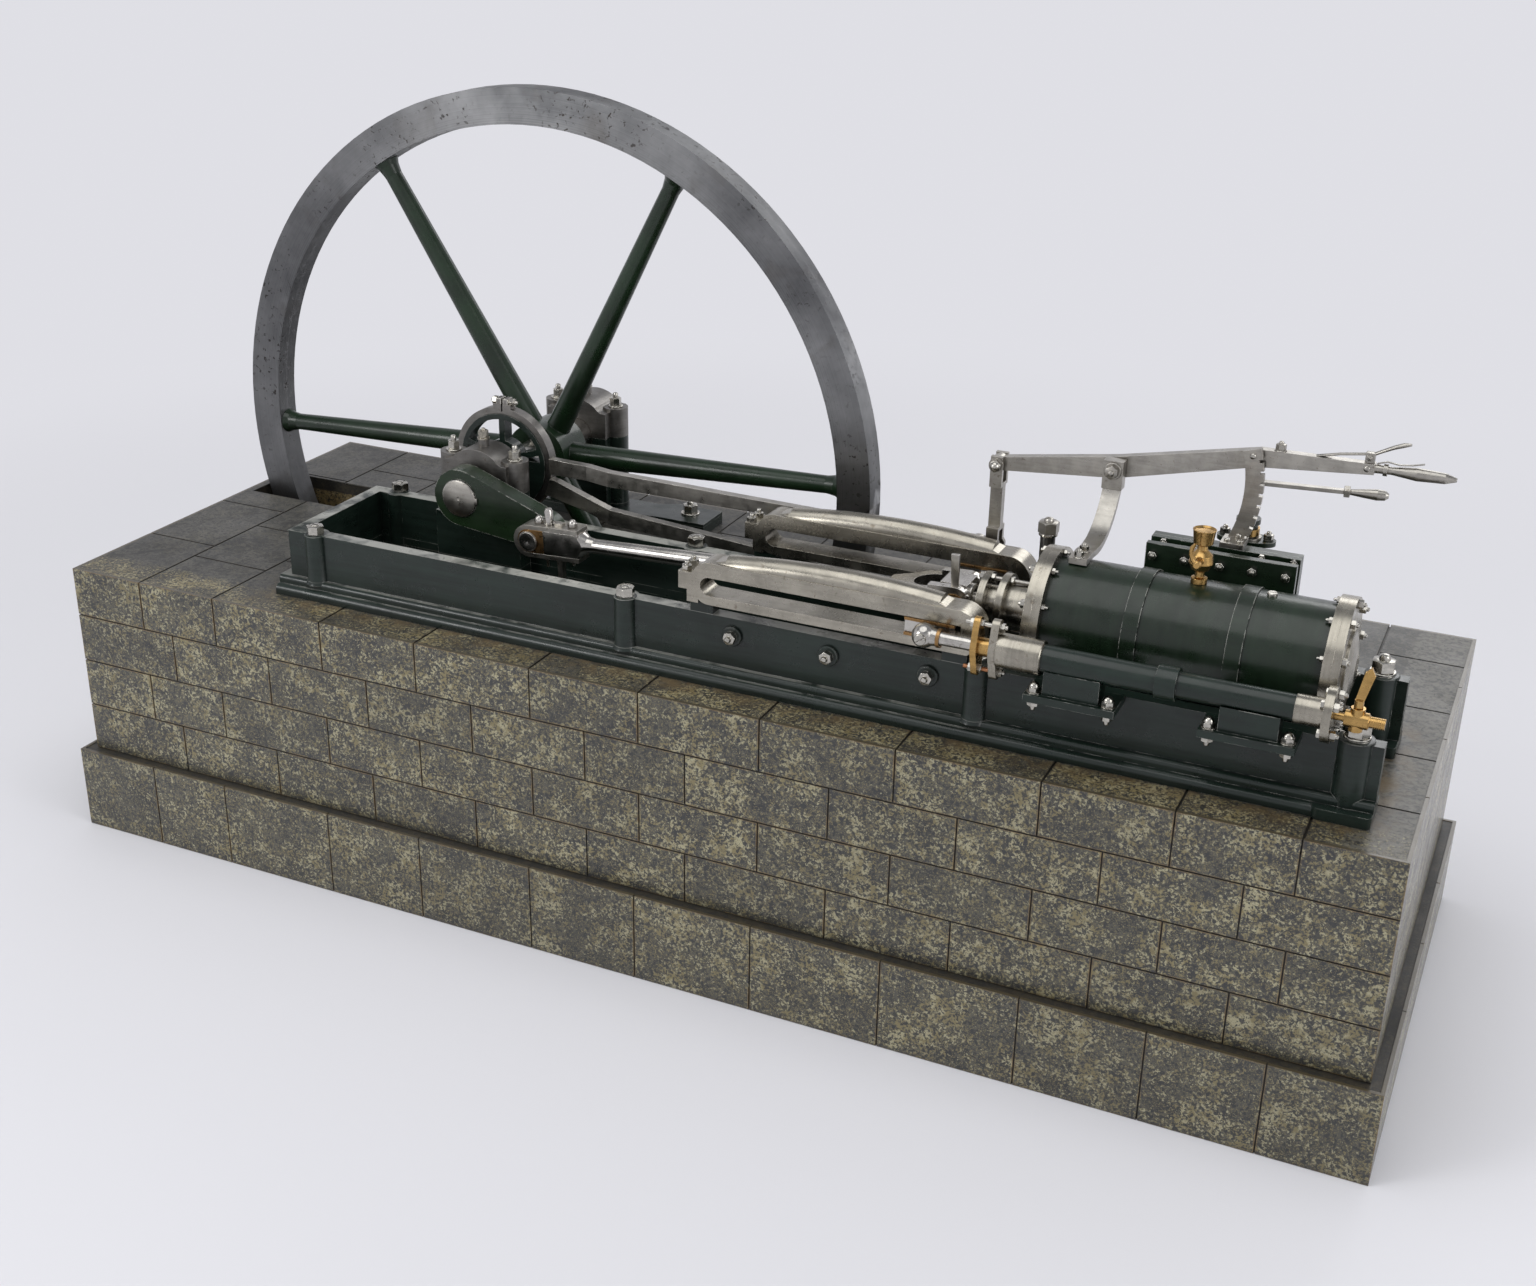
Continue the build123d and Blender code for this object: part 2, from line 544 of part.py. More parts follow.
def guide(y):
    y0 = y - GUIDE_T / 2
    y1 = y + GUIDE_T / 2
    r = GUIDE_T / 2 - 0.8
    turn_x = SLOT_X0 + SLOT_HALF
    low_r = SLOT_HALF + LOWER_BAR
    left = turn_x - low_r
    end = SLOT_X1 + GUIDE_NOSE
    tail = (turn_x - 7, GUIDE_TOP - 14.5)
    start = (turn_x + 14, GUIDE_TOP - 5.5)
    crest = ((turn_x + end) / 2, GUIDE_TOP + CROWN_RISE)
    fall = (end - 34, GUIDE_TOP - 4)
    tip = (end - r, GUIDE_TOP - 20)
    # The line of the crown's centre: a short rise, a long bow and the curved nose
    bow = ThreePointArc(start, crest, fall)
    rise = TangentArc(start, tail, tangent=-(bow % 0))
    nose = TangentArc(fall, tip, tangent=bow % 1)
    top_r = GUIDE_TOP - AXIS_Z
    body = contour((left, AXIS_Z), (left, AXIS_Z + 4), ((turn_x - 12, AXIS_Z + 14), (turn_x + 4, GUIDE_TOP)),
                   (end - 20, GUIDE_TOP), ((end - 5.5, GUIDE_TOP - 5.5), (end, GUIDE_TOP - top_r * 0.85)),
                   (end, AXIS_Z - 6), (end - 9, GUIDE_BOTTOM), (turn_x, GUIDE_BOTTOM),
                   ((turn_x - low_r * 0.7071, AXIS_Z - low_r * 0.7071), (left, AXIS_Z)))
    part = along_y(body, y0, y1)
    for arc in (rise, bow, nose):
        centre = arc.arc_center
        tube = Torus(arc.radius, r)
        part += Pos(centre.X, y, centre.Y) * Rot(90, 0, 0) * tube & crown_piece(arc, centre, y)
    part += block(left - 11.5, turn_x, y0, y1, AXIS_Z - 5, AXIS_Z + 9.6)
    part += block(left - 4, left + 6, y0, y1, GUIDE_BOTTOM, AXIS_Z)
    slot = block(turn_x, SLOT_X1, y0 - 1, y1 + 1, AXIS_Z - SLOT_HALF, AXIS_Z + SLOT_HALF)
    slot += cyl_y(SLOT_HALF, y0 - 1, y1 + 1, turn_x)
    return part - slot


def guides():
    PARTS["guide_front"] = guide(ENGINE_Y - GUIDE_OFF)
    PARTS["guide_rear"] = guide(ENGINE_Y + GUIDE_OFF)


# Crosshead with its slides, the piston rod and the pump's plunger
def crosshead():
    x = CROSS_X
    front = ENGINE_Y - GUIDE_OFF
    rear = ENGINE_Y + GUIDE_OFF
    ys = (ENGINE_Y - HEAD_HALF, ENGINE_Y + HEAD_HALF)
    head = block(x - 14, x + 8, ys[0], ys[1], AXIS_Z - FORK_EYE_R, AXIS_Z + FORK_EYE_R)
    head += turned_x([(x + 7, HEAD_HALF), (x + 10, HEAD_HALF), (x + 11.5, HEAD_HALF - 2)])
    head -= cyl_y(GUDGEON_R + FIT, ENGINE_Y - 20, ENGINE_Y + 20, x)
    PARTS["crosshead_block"] = head - cyl_x(PISTON_ROD_R + FIT, x + 7, x + 30)
    arm = FORK_GAP + FORK_ARM + 2
    pin = cyl_y(GUDGEON_R, ENGINE_Y - arm, ENGINE_Y + arm, x)
    PARTS["gudgeon_pin"] = pin + cyl_y(TRUNNION_R, PUMP_Y - 2, rear + GUIDE_T / 2 + 2, x)
    half = SLOT_HALF - SLIDE_FIT - SLIPPER
    slides = None
    slips = None
    for y in (front, rear):
        wide = GUIDE_T / 2 - 0.5
        piece = block(x - SLIDE_HALF, x + SLIDE_HALF, y - wide, y + wide, AXIS_Z - half, AXIS_Z + half)
        piece -= cyl_y(TRUNNION_R + FIT, y - 2 * wide, y + 2 * wide, x)
        slides = piece if slides is None else slides + piece
        for s in (-1, 1):
            z = AXIS_Z + s * (half + SLIPPER / 2)
            wide = GUIDE_T / 2 + 1
            strip = block(x - SLIDE_HALF, x + SLIDE_HALF, y - wide, y + wide, z - SLIPPER / 2, z + SLIPPER / 2)
            slips = strip if slips is None else slips + strip
    PARTS["slide_blocks"] = slides
    PARTS["slide_slippers"] = slips
    piston_x1 = CYL_X1 - 7
    rod = cyl_x(PISTON_ROD_R, x + 7, piston_x1 - PISTON_T + 1)
    PARTS["piston_rod"] = rod + cyl_x(BORE_R - 0.1, piston_x1 - PISTON_T, piston_x1)
    plunger = Pos(x, PUMP_Y, AXIS_Z) * Sphere(BALL_R)
    plunger += turned_x([(x + 6, 7), (x + 11, 6), (x + 15, PLUNGER_R), (x + 2 * CRANK_R + 88, PLUNGER_R)], PUMP_Y)
    PARTS["pump_plunger"] = plunger - cyl_y(TRUNNION_R + FIT, PUMP_Y - 3, PUMP_Y + 20, x)


# Connecting rod, drawn level and then leaned about the gudgeon pin
def leaned(part):
    return Pos(CROSS_X, 0, AXIS_Z) * Rot(0, -ROD_TILT, 0) * Pos(-CROSS_X, 0, -AXIS_Z) * part


def connecting_rod():
    x = CROSS_X
    big = CROSS_X - ROD_L
    y = ENGINE_Y
    y0 = BIG_Y0
    y1 = BIG_Y1
    inner = BIG_END_R - STRAP_WALL
    butt_x0 = big + PIN_R + 6
    butt_x1 = big + BIG_END_L
    neck = x - FORK_L
    shank = turned_x([(butt_x1 - 2, inner + 1), (butt_x1, inner + 1), (butt_x1 + 6, ROD_THIN_R + 1),
                      (butt_x1 + 12, ROD_THIN_R), ((butt_x1 + neck) / 2 + 60, ROD_THICK_R), (neck + 4, ROD_THICK_R)])
    shank = shank & block(butt_x1 - 2, neck + 10, y0, y1, AXIS_Z - inner, AXIS_Z + inner)
    butt = block(butt_x0, butt_x1, y0, y1, AXIS_Z - inner, AXIS_Z + inner)
    arm_out = FORK_GAP + FORK_ARM
    plan = contour((neck, y - ROD_THICK_R), (neck, y + ROD_THICK_R),
                   ((neck + 9, y + 11), (neck + 26, y + arm_out)), (x, y + arm_out), (x, y - arm_out),
                   (neck + 26, y - arm_out), ((neck + 9, y - 11), (neck, y - ROD_THICK_R)))
    fork = along_z(plan, AXIS_Z - 13, AXIS_Z + 13)
    fork = fork & tapered_plate(x, AXIS_Z, 13, neck, AXIS_Z, ROD_THICK_R, y - 40, y + 40)
    for s in (-1, 1):
        lo, hi = sorted((y + s * FORK_GAP, y + s * arm_out))
        fork += cyl_y(FORK_EYE_R, lo, hi, x) + block(x - 21, x, lo, hi, AXIS_Z - FORK_EYE_R, AXIS_Z + FORK_EYE_R)
    gap = block(neck + 34, x + 20, y - FORK_GAP, y + FORK_GAP, AXIS_Z - 20, AXIS_Z + 20)
    gap += cyl_z(FORK_GAP, AXIS_Z - 20, AXIS_Z + 20, neck + 34, y)
    fork = fork - gap - cyl_y(GUDGEON_R + FIT, y - 30, y + 30, x)
    key_x0 = big + 24
    key = block(key_x0 - 0.1, key_x0 + 7.1, y - 3.1, y + 3.1, AXIS_Z - 40, AXIS_Z + 40)
    PARTS["connecting_rod"] = leaned(shank + butt - key + fork)
    outer = cyl_y(BIG_END_R, y0, y1, big) + block(big, butt_x1, y0, y1, AXIS_Z - BIG_END_R, AXIS_Z + BIG_END_R)
    hollow = block(big - 1, butt_x1 + 1, y0 - 1, y1 + 1, AXIS_Z - inner, AXIS_Z + inner)
    hollow += cyl_y(inner, y0 - 1, y1 + 1, big)
    cotter = outline([(key_x0, AXIS_Z - KEY_REACH), (key_x0 + 4, AXIS_Z - KEY_REACH), (key_x0 + 7, AXIS_Z + 17),
                      (key_x0, AXIS_Z + 17)])
    PARTS["big_end_strap"] = leaned(outer - hollow + along_y(cotter, y - 3, y + 3))
    brass = cyl_y(inner, y0, y1, big) + block(big, butt_x0, y0, y1, AXIS_Z - inner, AXIS_Z + inner)
    PARTS["big_end_brasses"] = leaned(brass - cyl_y(PIN_R + FIT, y0 - 1, y1 + 1, big))
    PARTS["crank_pin_head"] = leaned(cyl_y(PIN_R, y0 - 1.5, y1, big))


# Cylinder: lagged barrel, flanges, covers, bands and the saddle under it
def cylinder():
    far = CYL_X0 - 30
    end = CYL_X1 + 30
    PARTS["cylinder_barrel"] = cyl_x(CYL_R, CYL_X0, CYL_X1) - cyl_x(BORE_R, far, end)
    rings = cyl_x(FLANGE_R, CYL_X0 - FLANGE_T, CYL_X0) + cyl_x(FLANGE_R, CYL_X1, CYL_X1 + FLANGE_T)
    PARTS["cylinder_flanges"] = rings - cyl_x(BORE_R, far, end)
    x0 = CYL_X0 - FLANGE_T
    face = x0 - COVER_T
    tip = face - GLAND_REACH
    profile = [(tip, GLAND_R - 1), (tip + 5.5, GLAND_R - 1), (tip + 5.5, GLAND_R - 11), (tip + 15.5, GLAND_R - 11),
               (tip + 15.5, GLAND_R), (tip + 21, GLAND_R), (tip + 21, GLAND_R - 7), (face - 8, GLAND_R - 6),
               (face, GLAND_R), (face, FLANGE_R), (x0, FLANGE_R)]
    PARTS["cover_left"] = turned_x(profile) - cyl_x(PISTON_ROD_R + FIT, x0 - 60, x0 + 10)
    x1 = CYL_X1 + FLANGE_T
    out = x1 + COVER_T
    dome = [(x1, FLANGE_R), (out, FLANGE_R), (out, DOME_R + 5), (out + 2, DOME_R + 5), (out + 2, DOME_R),
            (out + 4, DOME_R - 6), (out + 6, DOME_R - 16), (out + 6.5, 2)]
    PARTS["cover_right"] = turned_x(dome)
    bands = None
    for part_of in (0.325, 0.695):
        x = CYL_X0 + CYL_L * part_of
        r = CYL_R + SEAT
        band = cyl_x(r + BAND_T, x - BAND_W / 2, x + BAND_W / 2) - cyl_x(r, x - BAND_W, x + BAND_W)
        bands = band if bands is None else bands + band
    PARTS["cylinder_bands"] = bands
    saddle = None
    half = RAIL_IN - MOULD_W - 2
    for x in (CYL_X0 + 26, CYL_X1 - 26):
        foot = outline([(ENGINE_Y - half, PLINTH_TOP), (ENGINE_Y + half, PLINTH_TOP), (ENGINE_Y + half, PLINTH_TOP + 10),
                        (ENGINE_Y + 30, AXIS_Z - 22), (ENGINE_Y - 30, AXIS_Z - 22), (ENGINE_Y - half, PLINTH_TOP + 10)])
        foot = along_x(foot, x - 9, x + 9)
        saddle = foot if saddle is None else saddle + foot
    PARTS["cylinder_saddle"] = saddle - cyl_x(CYL_R + SEAT, far, end)


# Feed pump beside the bed, on two feet bolted to shelves
def pump():
    y = PUMP_Y
    mouth = CYL_X0 - 18
    tail = CYL_X1 + 11
    tube_x1 = mouth + PUMP_TUBE_L
    steel_x0 = tail - 20
    collar_x0 = CYL_X0 + 100
    hole = cyl_x(PLUNGER_R + FIT, mouth - 50, steel_x0, y)
    barrel = turned_x([(tube_x1, PUMP_R + 0.6), (collar_x0, PUMP_R), (collar_x0, PUMP_R + 2.5),
                       (collar_x0 + 15, PUMP_R + 2.5), (collar_x0 + 15, PUMP_R - 0.4), (steel_x0, PUMP_R - 0.4)], y)
    PARTS["pump_barrel"] = barrel - hole
    ends = oval_x(GLAND_HALF, 18, mouth - 5, mouth, y) + cyl_x(PUMP_R + 1.5, mouth, tube_x1, y) - hole
    ends += turned_x([(steel_x0, PUMP_R + 0.6), (tail, PUMP_R + 0.6), (tail, 2 * PUMP_R), (tail + 6, 2 * PUMP_R)], y)
    PARTS["pump_ends"] = ends
    gland = oval_x(GLAND_HALF, 17, mouth - 19, mouth - 15, y) + cyl_x(7, mouth - 17, mouth - 5, y)
    PARTS["pump_gland"] = gland - hole
    feet = None
    half = PUMP_FOOT_L / 2
    for x in (CYL_X0 + 40, CYL_X0 + 168):
        foot = block(x - half, x + half, y - 9, y + 9, BED_TOP + 1, AXIS_Z - 3)
        foot -= cyl_x(PUMP_R + 0.6 + SEAT, mouth, tail, y)
        foot += block(x - half - 13, x + half + 13, y - 13, ENGINE_Y - RAIL_OUT, BED_TOP - 5, BED_TOP + 1)
        feet = foot if feet is None else feet + foot
    PARTS["pump_feet"] = feet
    x = COCK_X
    cock = turned_x([(tail + 6, 3), (x - 8, 3), (x - 8, 6), (x + 8, 6), (x + 8, 4), (x + 19, 4)], y)
    cock += cyl_z(5, AXIS_Z - 8, AXIS_Z + 9, x, y)
    PARTS["drain_cock"] = cock
    key = cyl_z(3.2, AXIS_Z + 9 + SEAT, AXIS_Z + 15, x, y)
    leaf = [(x - 3, AXIS_Z + 14), (x + 3, AXIS_Z + 14), (x + 8, AXIS_Z + 34), (x + 5, AXIS_Z + 40), (x + 1, AXIS_Z + 36)]
    PARTS["drain_cock_key"] = key + along_y(outline(leaf), y - 1.2, y + 1.2)


# Steam chest with its cover, the stop valve and the lubricator
def chest():
    body = block(CHEST_X0 + 5, CHEST_X1 - 5, CHEST_Y0, CHEST_Y1, CHEST_Z0, CHEST_Z1)
    body += block(CHEST_X0, CHEST_X1, CHEST_Y0, CHEST_Y0 + 6, CHEST_Z0, LIP_Z)
    body += block(CHEST_X0, CHEST_X1, CHEST_Y1 - 6, CHEST_Y1, CHEST_Z0, LIP_Z)
    PARTS["steam_chest"] = body
    PARTS["chest_cover"] = block(CHEST_X0, CHEST_X1, CHEST_Y1, COVER_Y1, CHEST_Z0, LIP_Z)
    neck_z = CHEST_Z1 - 4
    valve = block(VALVE_X - 19, VALVE_X + 19, COVER_Y1, VALVE_Y + 12, AXIS_Z - 14, neck_z - 8)
    valve += cyl_z(13, AXIS_Z - 14, neck_z, VALVE_X, VALVE_Y)
    flange = extrude(Pos(VALVE_X, VALVE_Y, neck_z) * Ellipse(23, 12), amount=4)
    valve += flange + turned_z([(neck_z + 4, 8), (neck_z + 16, 8), (neck_z + 16, 9.5), (neck_z + 20, 9.5)],
                               VALVE_X, VALVE_Y)
    PARTS["stop_valve"] = valve - cyl_z(4 + FIT, neck_z - 20, neck_z + 60, VALVE_X, VALVE_Y)
    arm_z = AXIS_Z + STOP_RISE
    lever = cyl_z(4, neck_z - 18, arm_z + 5, VALVE_X, VALVE_Y) + cyl_z(6, arm_z - 5, arm_z + 5, VALVE_X, VALVE_Y)
    arm = outline([(0, -3.5), (STOP_ARM, -2.5), (STOP_ARM, 2.5), (0, 3.5)])
    arm = Pos(VALVE_X, VALVE_Y, arm_z) * Rot(0, 0, 8) * extrude(arm, amount=3)
    grip = turned_x([(STOP_ARM - 4, 4), (STOP_ARM, 4), (STOP_ARM, 2.2), (STOP_ARM + 10, 3.4), (STOP_ARM + 20, 4.4),
                     (STOP_ARM + 26, 3.8), (STOP_ARM + 28.5, 1.8)], 0, 0)
    lever += arm + Pos(VALVE_X, VALVE_Y, arm_z + 1.5) * Rot(0, 0, 8) * grip
    PARTS["stop_valve_lever"] = lever
    base = AXIS_Z + CYL_R
    steps = ((-0.05, 6), (0.1, 6), (0.125, 3.5), (0.225, 3.5), (0.275, 7), (0.4, 9.2), (0.55, 8), (0.65, 4),
             (0.725, 3.5), (0.775, 7), (1, 7.5))
    cup = turned_z([(base + LUBE_H * f, r) for f, r in steps], LUBE_X, ENGINE_Y)
    PARTS["lubricator"] = cup - cyl_x(CYL_R + SEAT, CYL_X0, CYL_X1)


# Reversing gear: hand lever, curved bracket, lifting link and notched quadrant
def valve_gear():
    y0 = GEAR_Y - LEVER_T / 2
    y1 = GEAR_Y + LEVER_T / 2
    grip_x = PIVOT_X + LEVER_LONG
    grip_z = PIVOT_Z + 28
    lever = outline([(EYE_X, EYE_Z - 5.5), (EYE_X, EYE_Z + 5.5), (PIVOT_X, PIVOT_Z + 8.5),
                     (PIVOT_X + 108, PIVOT_Z + 31), (grip_x, grip_z + 4), (grip_x, grip_z - 4),
                     (PIVOT_X + 108, PIVOT_Z + 17), (PIVOT_X, PIVOT_Z - 9)])
    bar = along_y(lever, y0, y1) + cyl_y(7, y0, y1, EYE_X, EYE_Z)
    bar += turned_x([(grip_x - 2, 3.5), (grip_x + 12, 3), (grip_x + 30, 5), (grip_x + 50, 4), (grip_x + 58, 1.5)],
                    GEAR_Y, grip_z)
    bar -= cyl_y(3 + FIT, y0 - 5, y1 + 5, EYE_X, EYE_Z)
    PARTS["hand_lever"] = bar - cyl_y(GEAR_PIN_R + FIT, y0 - 5, y1 + 5, PIVOT_X, PIVOT_Z)
    foot_z = AXIS_Z + CYL_R + SEAT
    top_y = y0 - 4.5
    reach = top_y - (ENGINE_Y + 14)
    rise = PIVOT_Z - 14 - foot_z
    bend = 0.7071
    strip = contour((ENGINE_Y - 8, foot_z), (ENGINE_Y + 14, foot_z),
                    ((ENGINE_Y + 14 + reach * bend, foot_z + rise * (1 - bend)), (top_y, foot_z + rise)),
                    (top_y - 5, foot_z + rise),
                    ((ENGINE_Y + 14 + (reach - 5) * bend, foot_z + 5 + (rise - 5) * (1 - bend)),
                     (ENGINE_Y + 14, foot_z + 5)), (ENGINE_Y - 8, foot_z + 5))
    bracket = along_x(strip, PIVOT_X - 7, PIVOT_X + 7)
    bracket += block(PIVOT_X - 8, PIVOT_X + 8, top_y - 6, y0 - PIVOT_GAP, PIVOT_Z - 15, PIVOT_Z + 8)
    bracket += cyl_y(GEAR_PIN_R, y0 - 4, y1 + 4, PIVOT_X, PIVOT_Z)
    PARTS["lever_bracket"] = bracket
    link = block(EYE_X - 5, EYE_X + 5, y0 - 4.5, y1 + 4.5, LINK_END_Z - 12, EYE_Z + 7)
    clamp = outline([(EYE_X - 10, LINK_END_Z - 12), (EYE_X + 7, LINK_END_Z - 12), (EYE_X + 7, LINK_END_Z + 4),
                     (EYE_X + 3, LINK_END_Z + 10), (EYE_X - 6, LINK_END_Z + 10), (EYE_X - 10, LINK_END_Z + 4)])
    link += along_y(clamp, y0 - 4.5, y1 + 4.5)
    link -= block(EYE_X - 9, EYE_X + 9, y0 - 0.5, y1 + 0.5, EYE_Z - 16, EYE_Z + 20)
    link -= block(EYE_X - 12, EYE_X + 12, y0 - 0.5, y1 + 0.5, LINK_END_Z - 30, LINK_END_Z + 16)
    for lo, hi in ((y0 - 20, y0), (y1, y1 + 20)):
        link -= block(EYE_X - 9, EYE_X + 9, lo, hi, LINK_END_Z + 19, EYE_Z - 19)
    PARTS["lifting_link"] = link + cyl_y(3, y0 - 6, y1 + 6, EYE_X, EYE_Z)
    qy0 = y0 - 6
    qy1 = y0 - 1.5
    sector = ring_y(SECTOR_R + 7, SECTOR_R - 7, qy0, qy1, PIVOT_X, PIVOT_Z)
    keep = outline([(PIVOT_X, PIVOT_Z), (PIVOT_X + 130, PIVOT_Z + 40), (PIVOT_X + 130, PIVOT_Z - 76)])
    sector = sector & along_y(keep, qy0, qy1)
    sector -= block(PIVOT_X, PIVOT_X + 2 * SECTOR_R, qy0 - 1, qy1 + 1, AXIS_Z, LIP_Z)
    for i in range(9):
        a = math.radians(12 - 4.5 * i)
        x = PIVOT_X + (SECTOR_R + 7) * math.cos(a)
        z = PIVOT_Z + (SECTOR_R + 7) * math.sin(a)
        sector -= Pos(x, (qy0 + qy1) / 2, z) * Rot(0, -math.degrees(a), 0) * Box(6, 8, 2.4)
    foot_x = PIVOT_X + math.sqrt(SECTOR_R ** 2 - (PIVOT_Z - LIP_Z) ** 2)
    sector += block(foot_x - 9, foot_x + 9, CHEST_Y1 - 6, qy1, LIP_Z, LIP_Z + 4)
    PARTS["quadrant"] = sector


def build():
    plinth()
    bed()
    bearings()
    crankshaft()
    flywheel()
    eccentric()
    guides()
    crosshead()
    connecting_rod()
    cylinder()
    pump()
    chest()
    valve_gear()


def save():
    os.makedirs("parts", exist_ok=True)
    for name, part in PARTS.items():
        part.label = name
        export_step(part, "parts/" + name + ".step")


build()
save()
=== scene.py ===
import json
import math
import bmesh
import bpy
from mathutils import Matrix, Vector


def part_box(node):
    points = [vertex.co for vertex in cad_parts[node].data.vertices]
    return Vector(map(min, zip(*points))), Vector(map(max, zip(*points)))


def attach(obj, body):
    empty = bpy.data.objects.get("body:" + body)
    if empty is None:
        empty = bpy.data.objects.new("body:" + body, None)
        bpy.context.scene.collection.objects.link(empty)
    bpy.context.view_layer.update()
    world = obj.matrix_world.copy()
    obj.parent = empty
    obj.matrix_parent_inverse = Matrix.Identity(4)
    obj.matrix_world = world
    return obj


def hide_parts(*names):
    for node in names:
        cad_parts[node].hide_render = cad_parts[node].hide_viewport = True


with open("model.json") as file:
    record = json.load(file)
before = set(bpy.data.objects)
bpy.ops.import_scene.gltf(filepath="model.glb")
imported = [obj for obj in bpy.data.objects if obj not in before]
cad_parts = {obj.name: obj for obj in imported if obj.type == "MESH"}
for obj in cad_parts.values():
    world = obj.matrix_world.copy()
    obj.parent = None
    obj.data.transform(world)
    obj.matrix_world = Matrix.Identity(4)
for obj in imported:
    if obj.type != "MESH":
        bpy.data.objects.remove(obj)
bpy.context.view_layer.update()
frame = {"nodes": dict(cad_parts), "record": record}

mm = 0.001
up = Vector((0, 0, 1))


def say(words):
    print("stage:", words)


cameraView = {
    "place": (0.6477, -1.4038, 0.9129),
    "azimuth": -0.4244,  # radians, from +Y
    "below": 0.4196,  # radians below the horizon
    "roll": 0.0187,
    "focalPixels": 1890.55,
    "photoWidth": 1536,
}


def placeCamera(view):
    data = bpy.data.cameras.new("photoCamera")
    data.sensor_width = 36
    data.lens = view["focalPixels"] / view["photoWidth"] * data.sensor_width
    data.clip_end = 60
    az, el, roll = view["azimuth"], view["below"], view["roll"]
    ahead = Vector((math.sin(az) * math.cos(el), math.cos(az) * math.cos(el), -math.sin(el)))
    side = ahead.cross(up).normalized()
    over = side.cross(ahead)
    right = side * math.cos(roll) + over * math.sin(roll)
    top = over * math.cos(roll) - side * math.sin(roll)
    turn = Matrix((right, top, -ahead)).transposed().to_4x4()
    camera = bpy.data.objects.new("photoCamera", data)
    bpy.context.scene.collection.objects.link(camera)
    camera.matrix_world = Matrix.Translation(Vector(view["place"])) @ turn
    bpy.context.scene.camera = camera


placeCamera(cameraView)
say("camera placed")

studio = {
    "paper": (0.74, 0.74, 0.785),  # what the camera sees all round
    "floorColour": (0.68, 0.68, 0.72, 1),
    "fadeFrom": 0.85,  # metres from the middle, where the floor starts to turn into plain paper
    "fadeTo": 1.9,
    "zenith": (0.30, 0.31, 0.34),
    "lightTop": (1.0, 1.0, 1.0),
    "lightSide": (0.42, 0.43, 0.46),
    "lightStrength": 0.62,
    "lamps": [  # name, place, aim, size, watts
        ("overheadLamp", (-0.1, -0.6, 2.7), (0, 0, 0.3), 2.6, 30),
        ("leftLamp", (-1.75, -2.1, 1.6), (-0.15, 0, 0.4), 1.2, 26),
        ("rightLamp", (2.7, -0.5, 1.3), (0.3, 0, 0.2), 1.8, 24),
        ("backLamp", (0.5, 2.6, 1.9), (0.0, 0, 0.3), 1.4, 14),
    ],
}


def addNode(tree, kind, inputs=None, **settings):
    node = tree.nodes.new("ShaderNode" + kind)
    for key, value in settings.items():
        setattr(node, key, value)
    for key, value in (inputs or {}).items():
        if isinstance(value, bpy.types.NodeSocket):
            tree.links.new(value, node.inputs[key])
        else:
            node.inputs[key].default_value = value
    return node


def maths(tree, how, first, second=0.0, clamp=False):
    return addNode(tree, "Math", {0: first, 1: second}, operation=how, use_clamp=clamp).outputs[0]


def ramp(tree, value, *stops):
    node = addNode(tree, "ValToRGB", {"Fac": value})
    dots = node.color_ramp.elements
    while len(dots) < len(stops):
        dots.new(0.5)
    for dot, (place, colour) in zip(dots, stops):
        dot.position = place
        dot.color = (*colour, 1) if isinstance(colour, tuple) else (colour, colour, colour, 1)
    return node.outputs["Color"]


def seenByEye(tree):
    path = addNode(tree, "LightPath")
    seen = maths(tree, "MAXIMUM", path.outputs["Is Camera Ray"], path.outputs["Is Glossy Ray"])
    return maths(tree, "MAXIMUM", seen, path.outputs["Is Transmission Ray"])


def addLamp(name, place, aim, size, watts):
    lamp = bpy.data.lights.new(name, "AREA")
    lamp.shape = "DISK"
    lamp.size = size
    lamp.energy = watts
    holder = bpy.data.objects.new(name, lamp)
    holder.location = place
    holder.rotation_euler = (Vector(aim) - Vector(place)).to_track_quat("-Z", "Y").to_euler()
    bpy.context.scene.collection.objects.link(holder)


def setWorld(values):
    world = bpy.data.worlds.new("studioWorld")
    bpy.context.scene.world = world
    world.use_nodes = True
    tree = world.node_tree
    tree.nodes.clear()
    way = addNode(tree, "SeparateXYZ", {"Vector": addNode(tree, "TexCoord").outputs["Generated"]})
    height = way.outputs["Z"]
    seen = ramp(tree, height, (0.35, values["paper"]), (0.9, values["zenith"]))
    light = ramp(tree, height, (0.0, values["lightSide"]), (0.75, values["lightTop"]))
    lit = addNode(tree, "Background", {"Color": light, "Strength": values["lightStrength"]})
    shown = addNode(tree, "Background", {"Color": seen, "Strength": 1.0})
    both = addNode(tree, "MixShader", {0: seenByEye(tree), 1: lit.outputs[0], 2: shown.outputs[0]})
    out = addNode(tree, "OutputWorld")
    tree.links.new(both.outputs[0], out.inputs["Surface"])


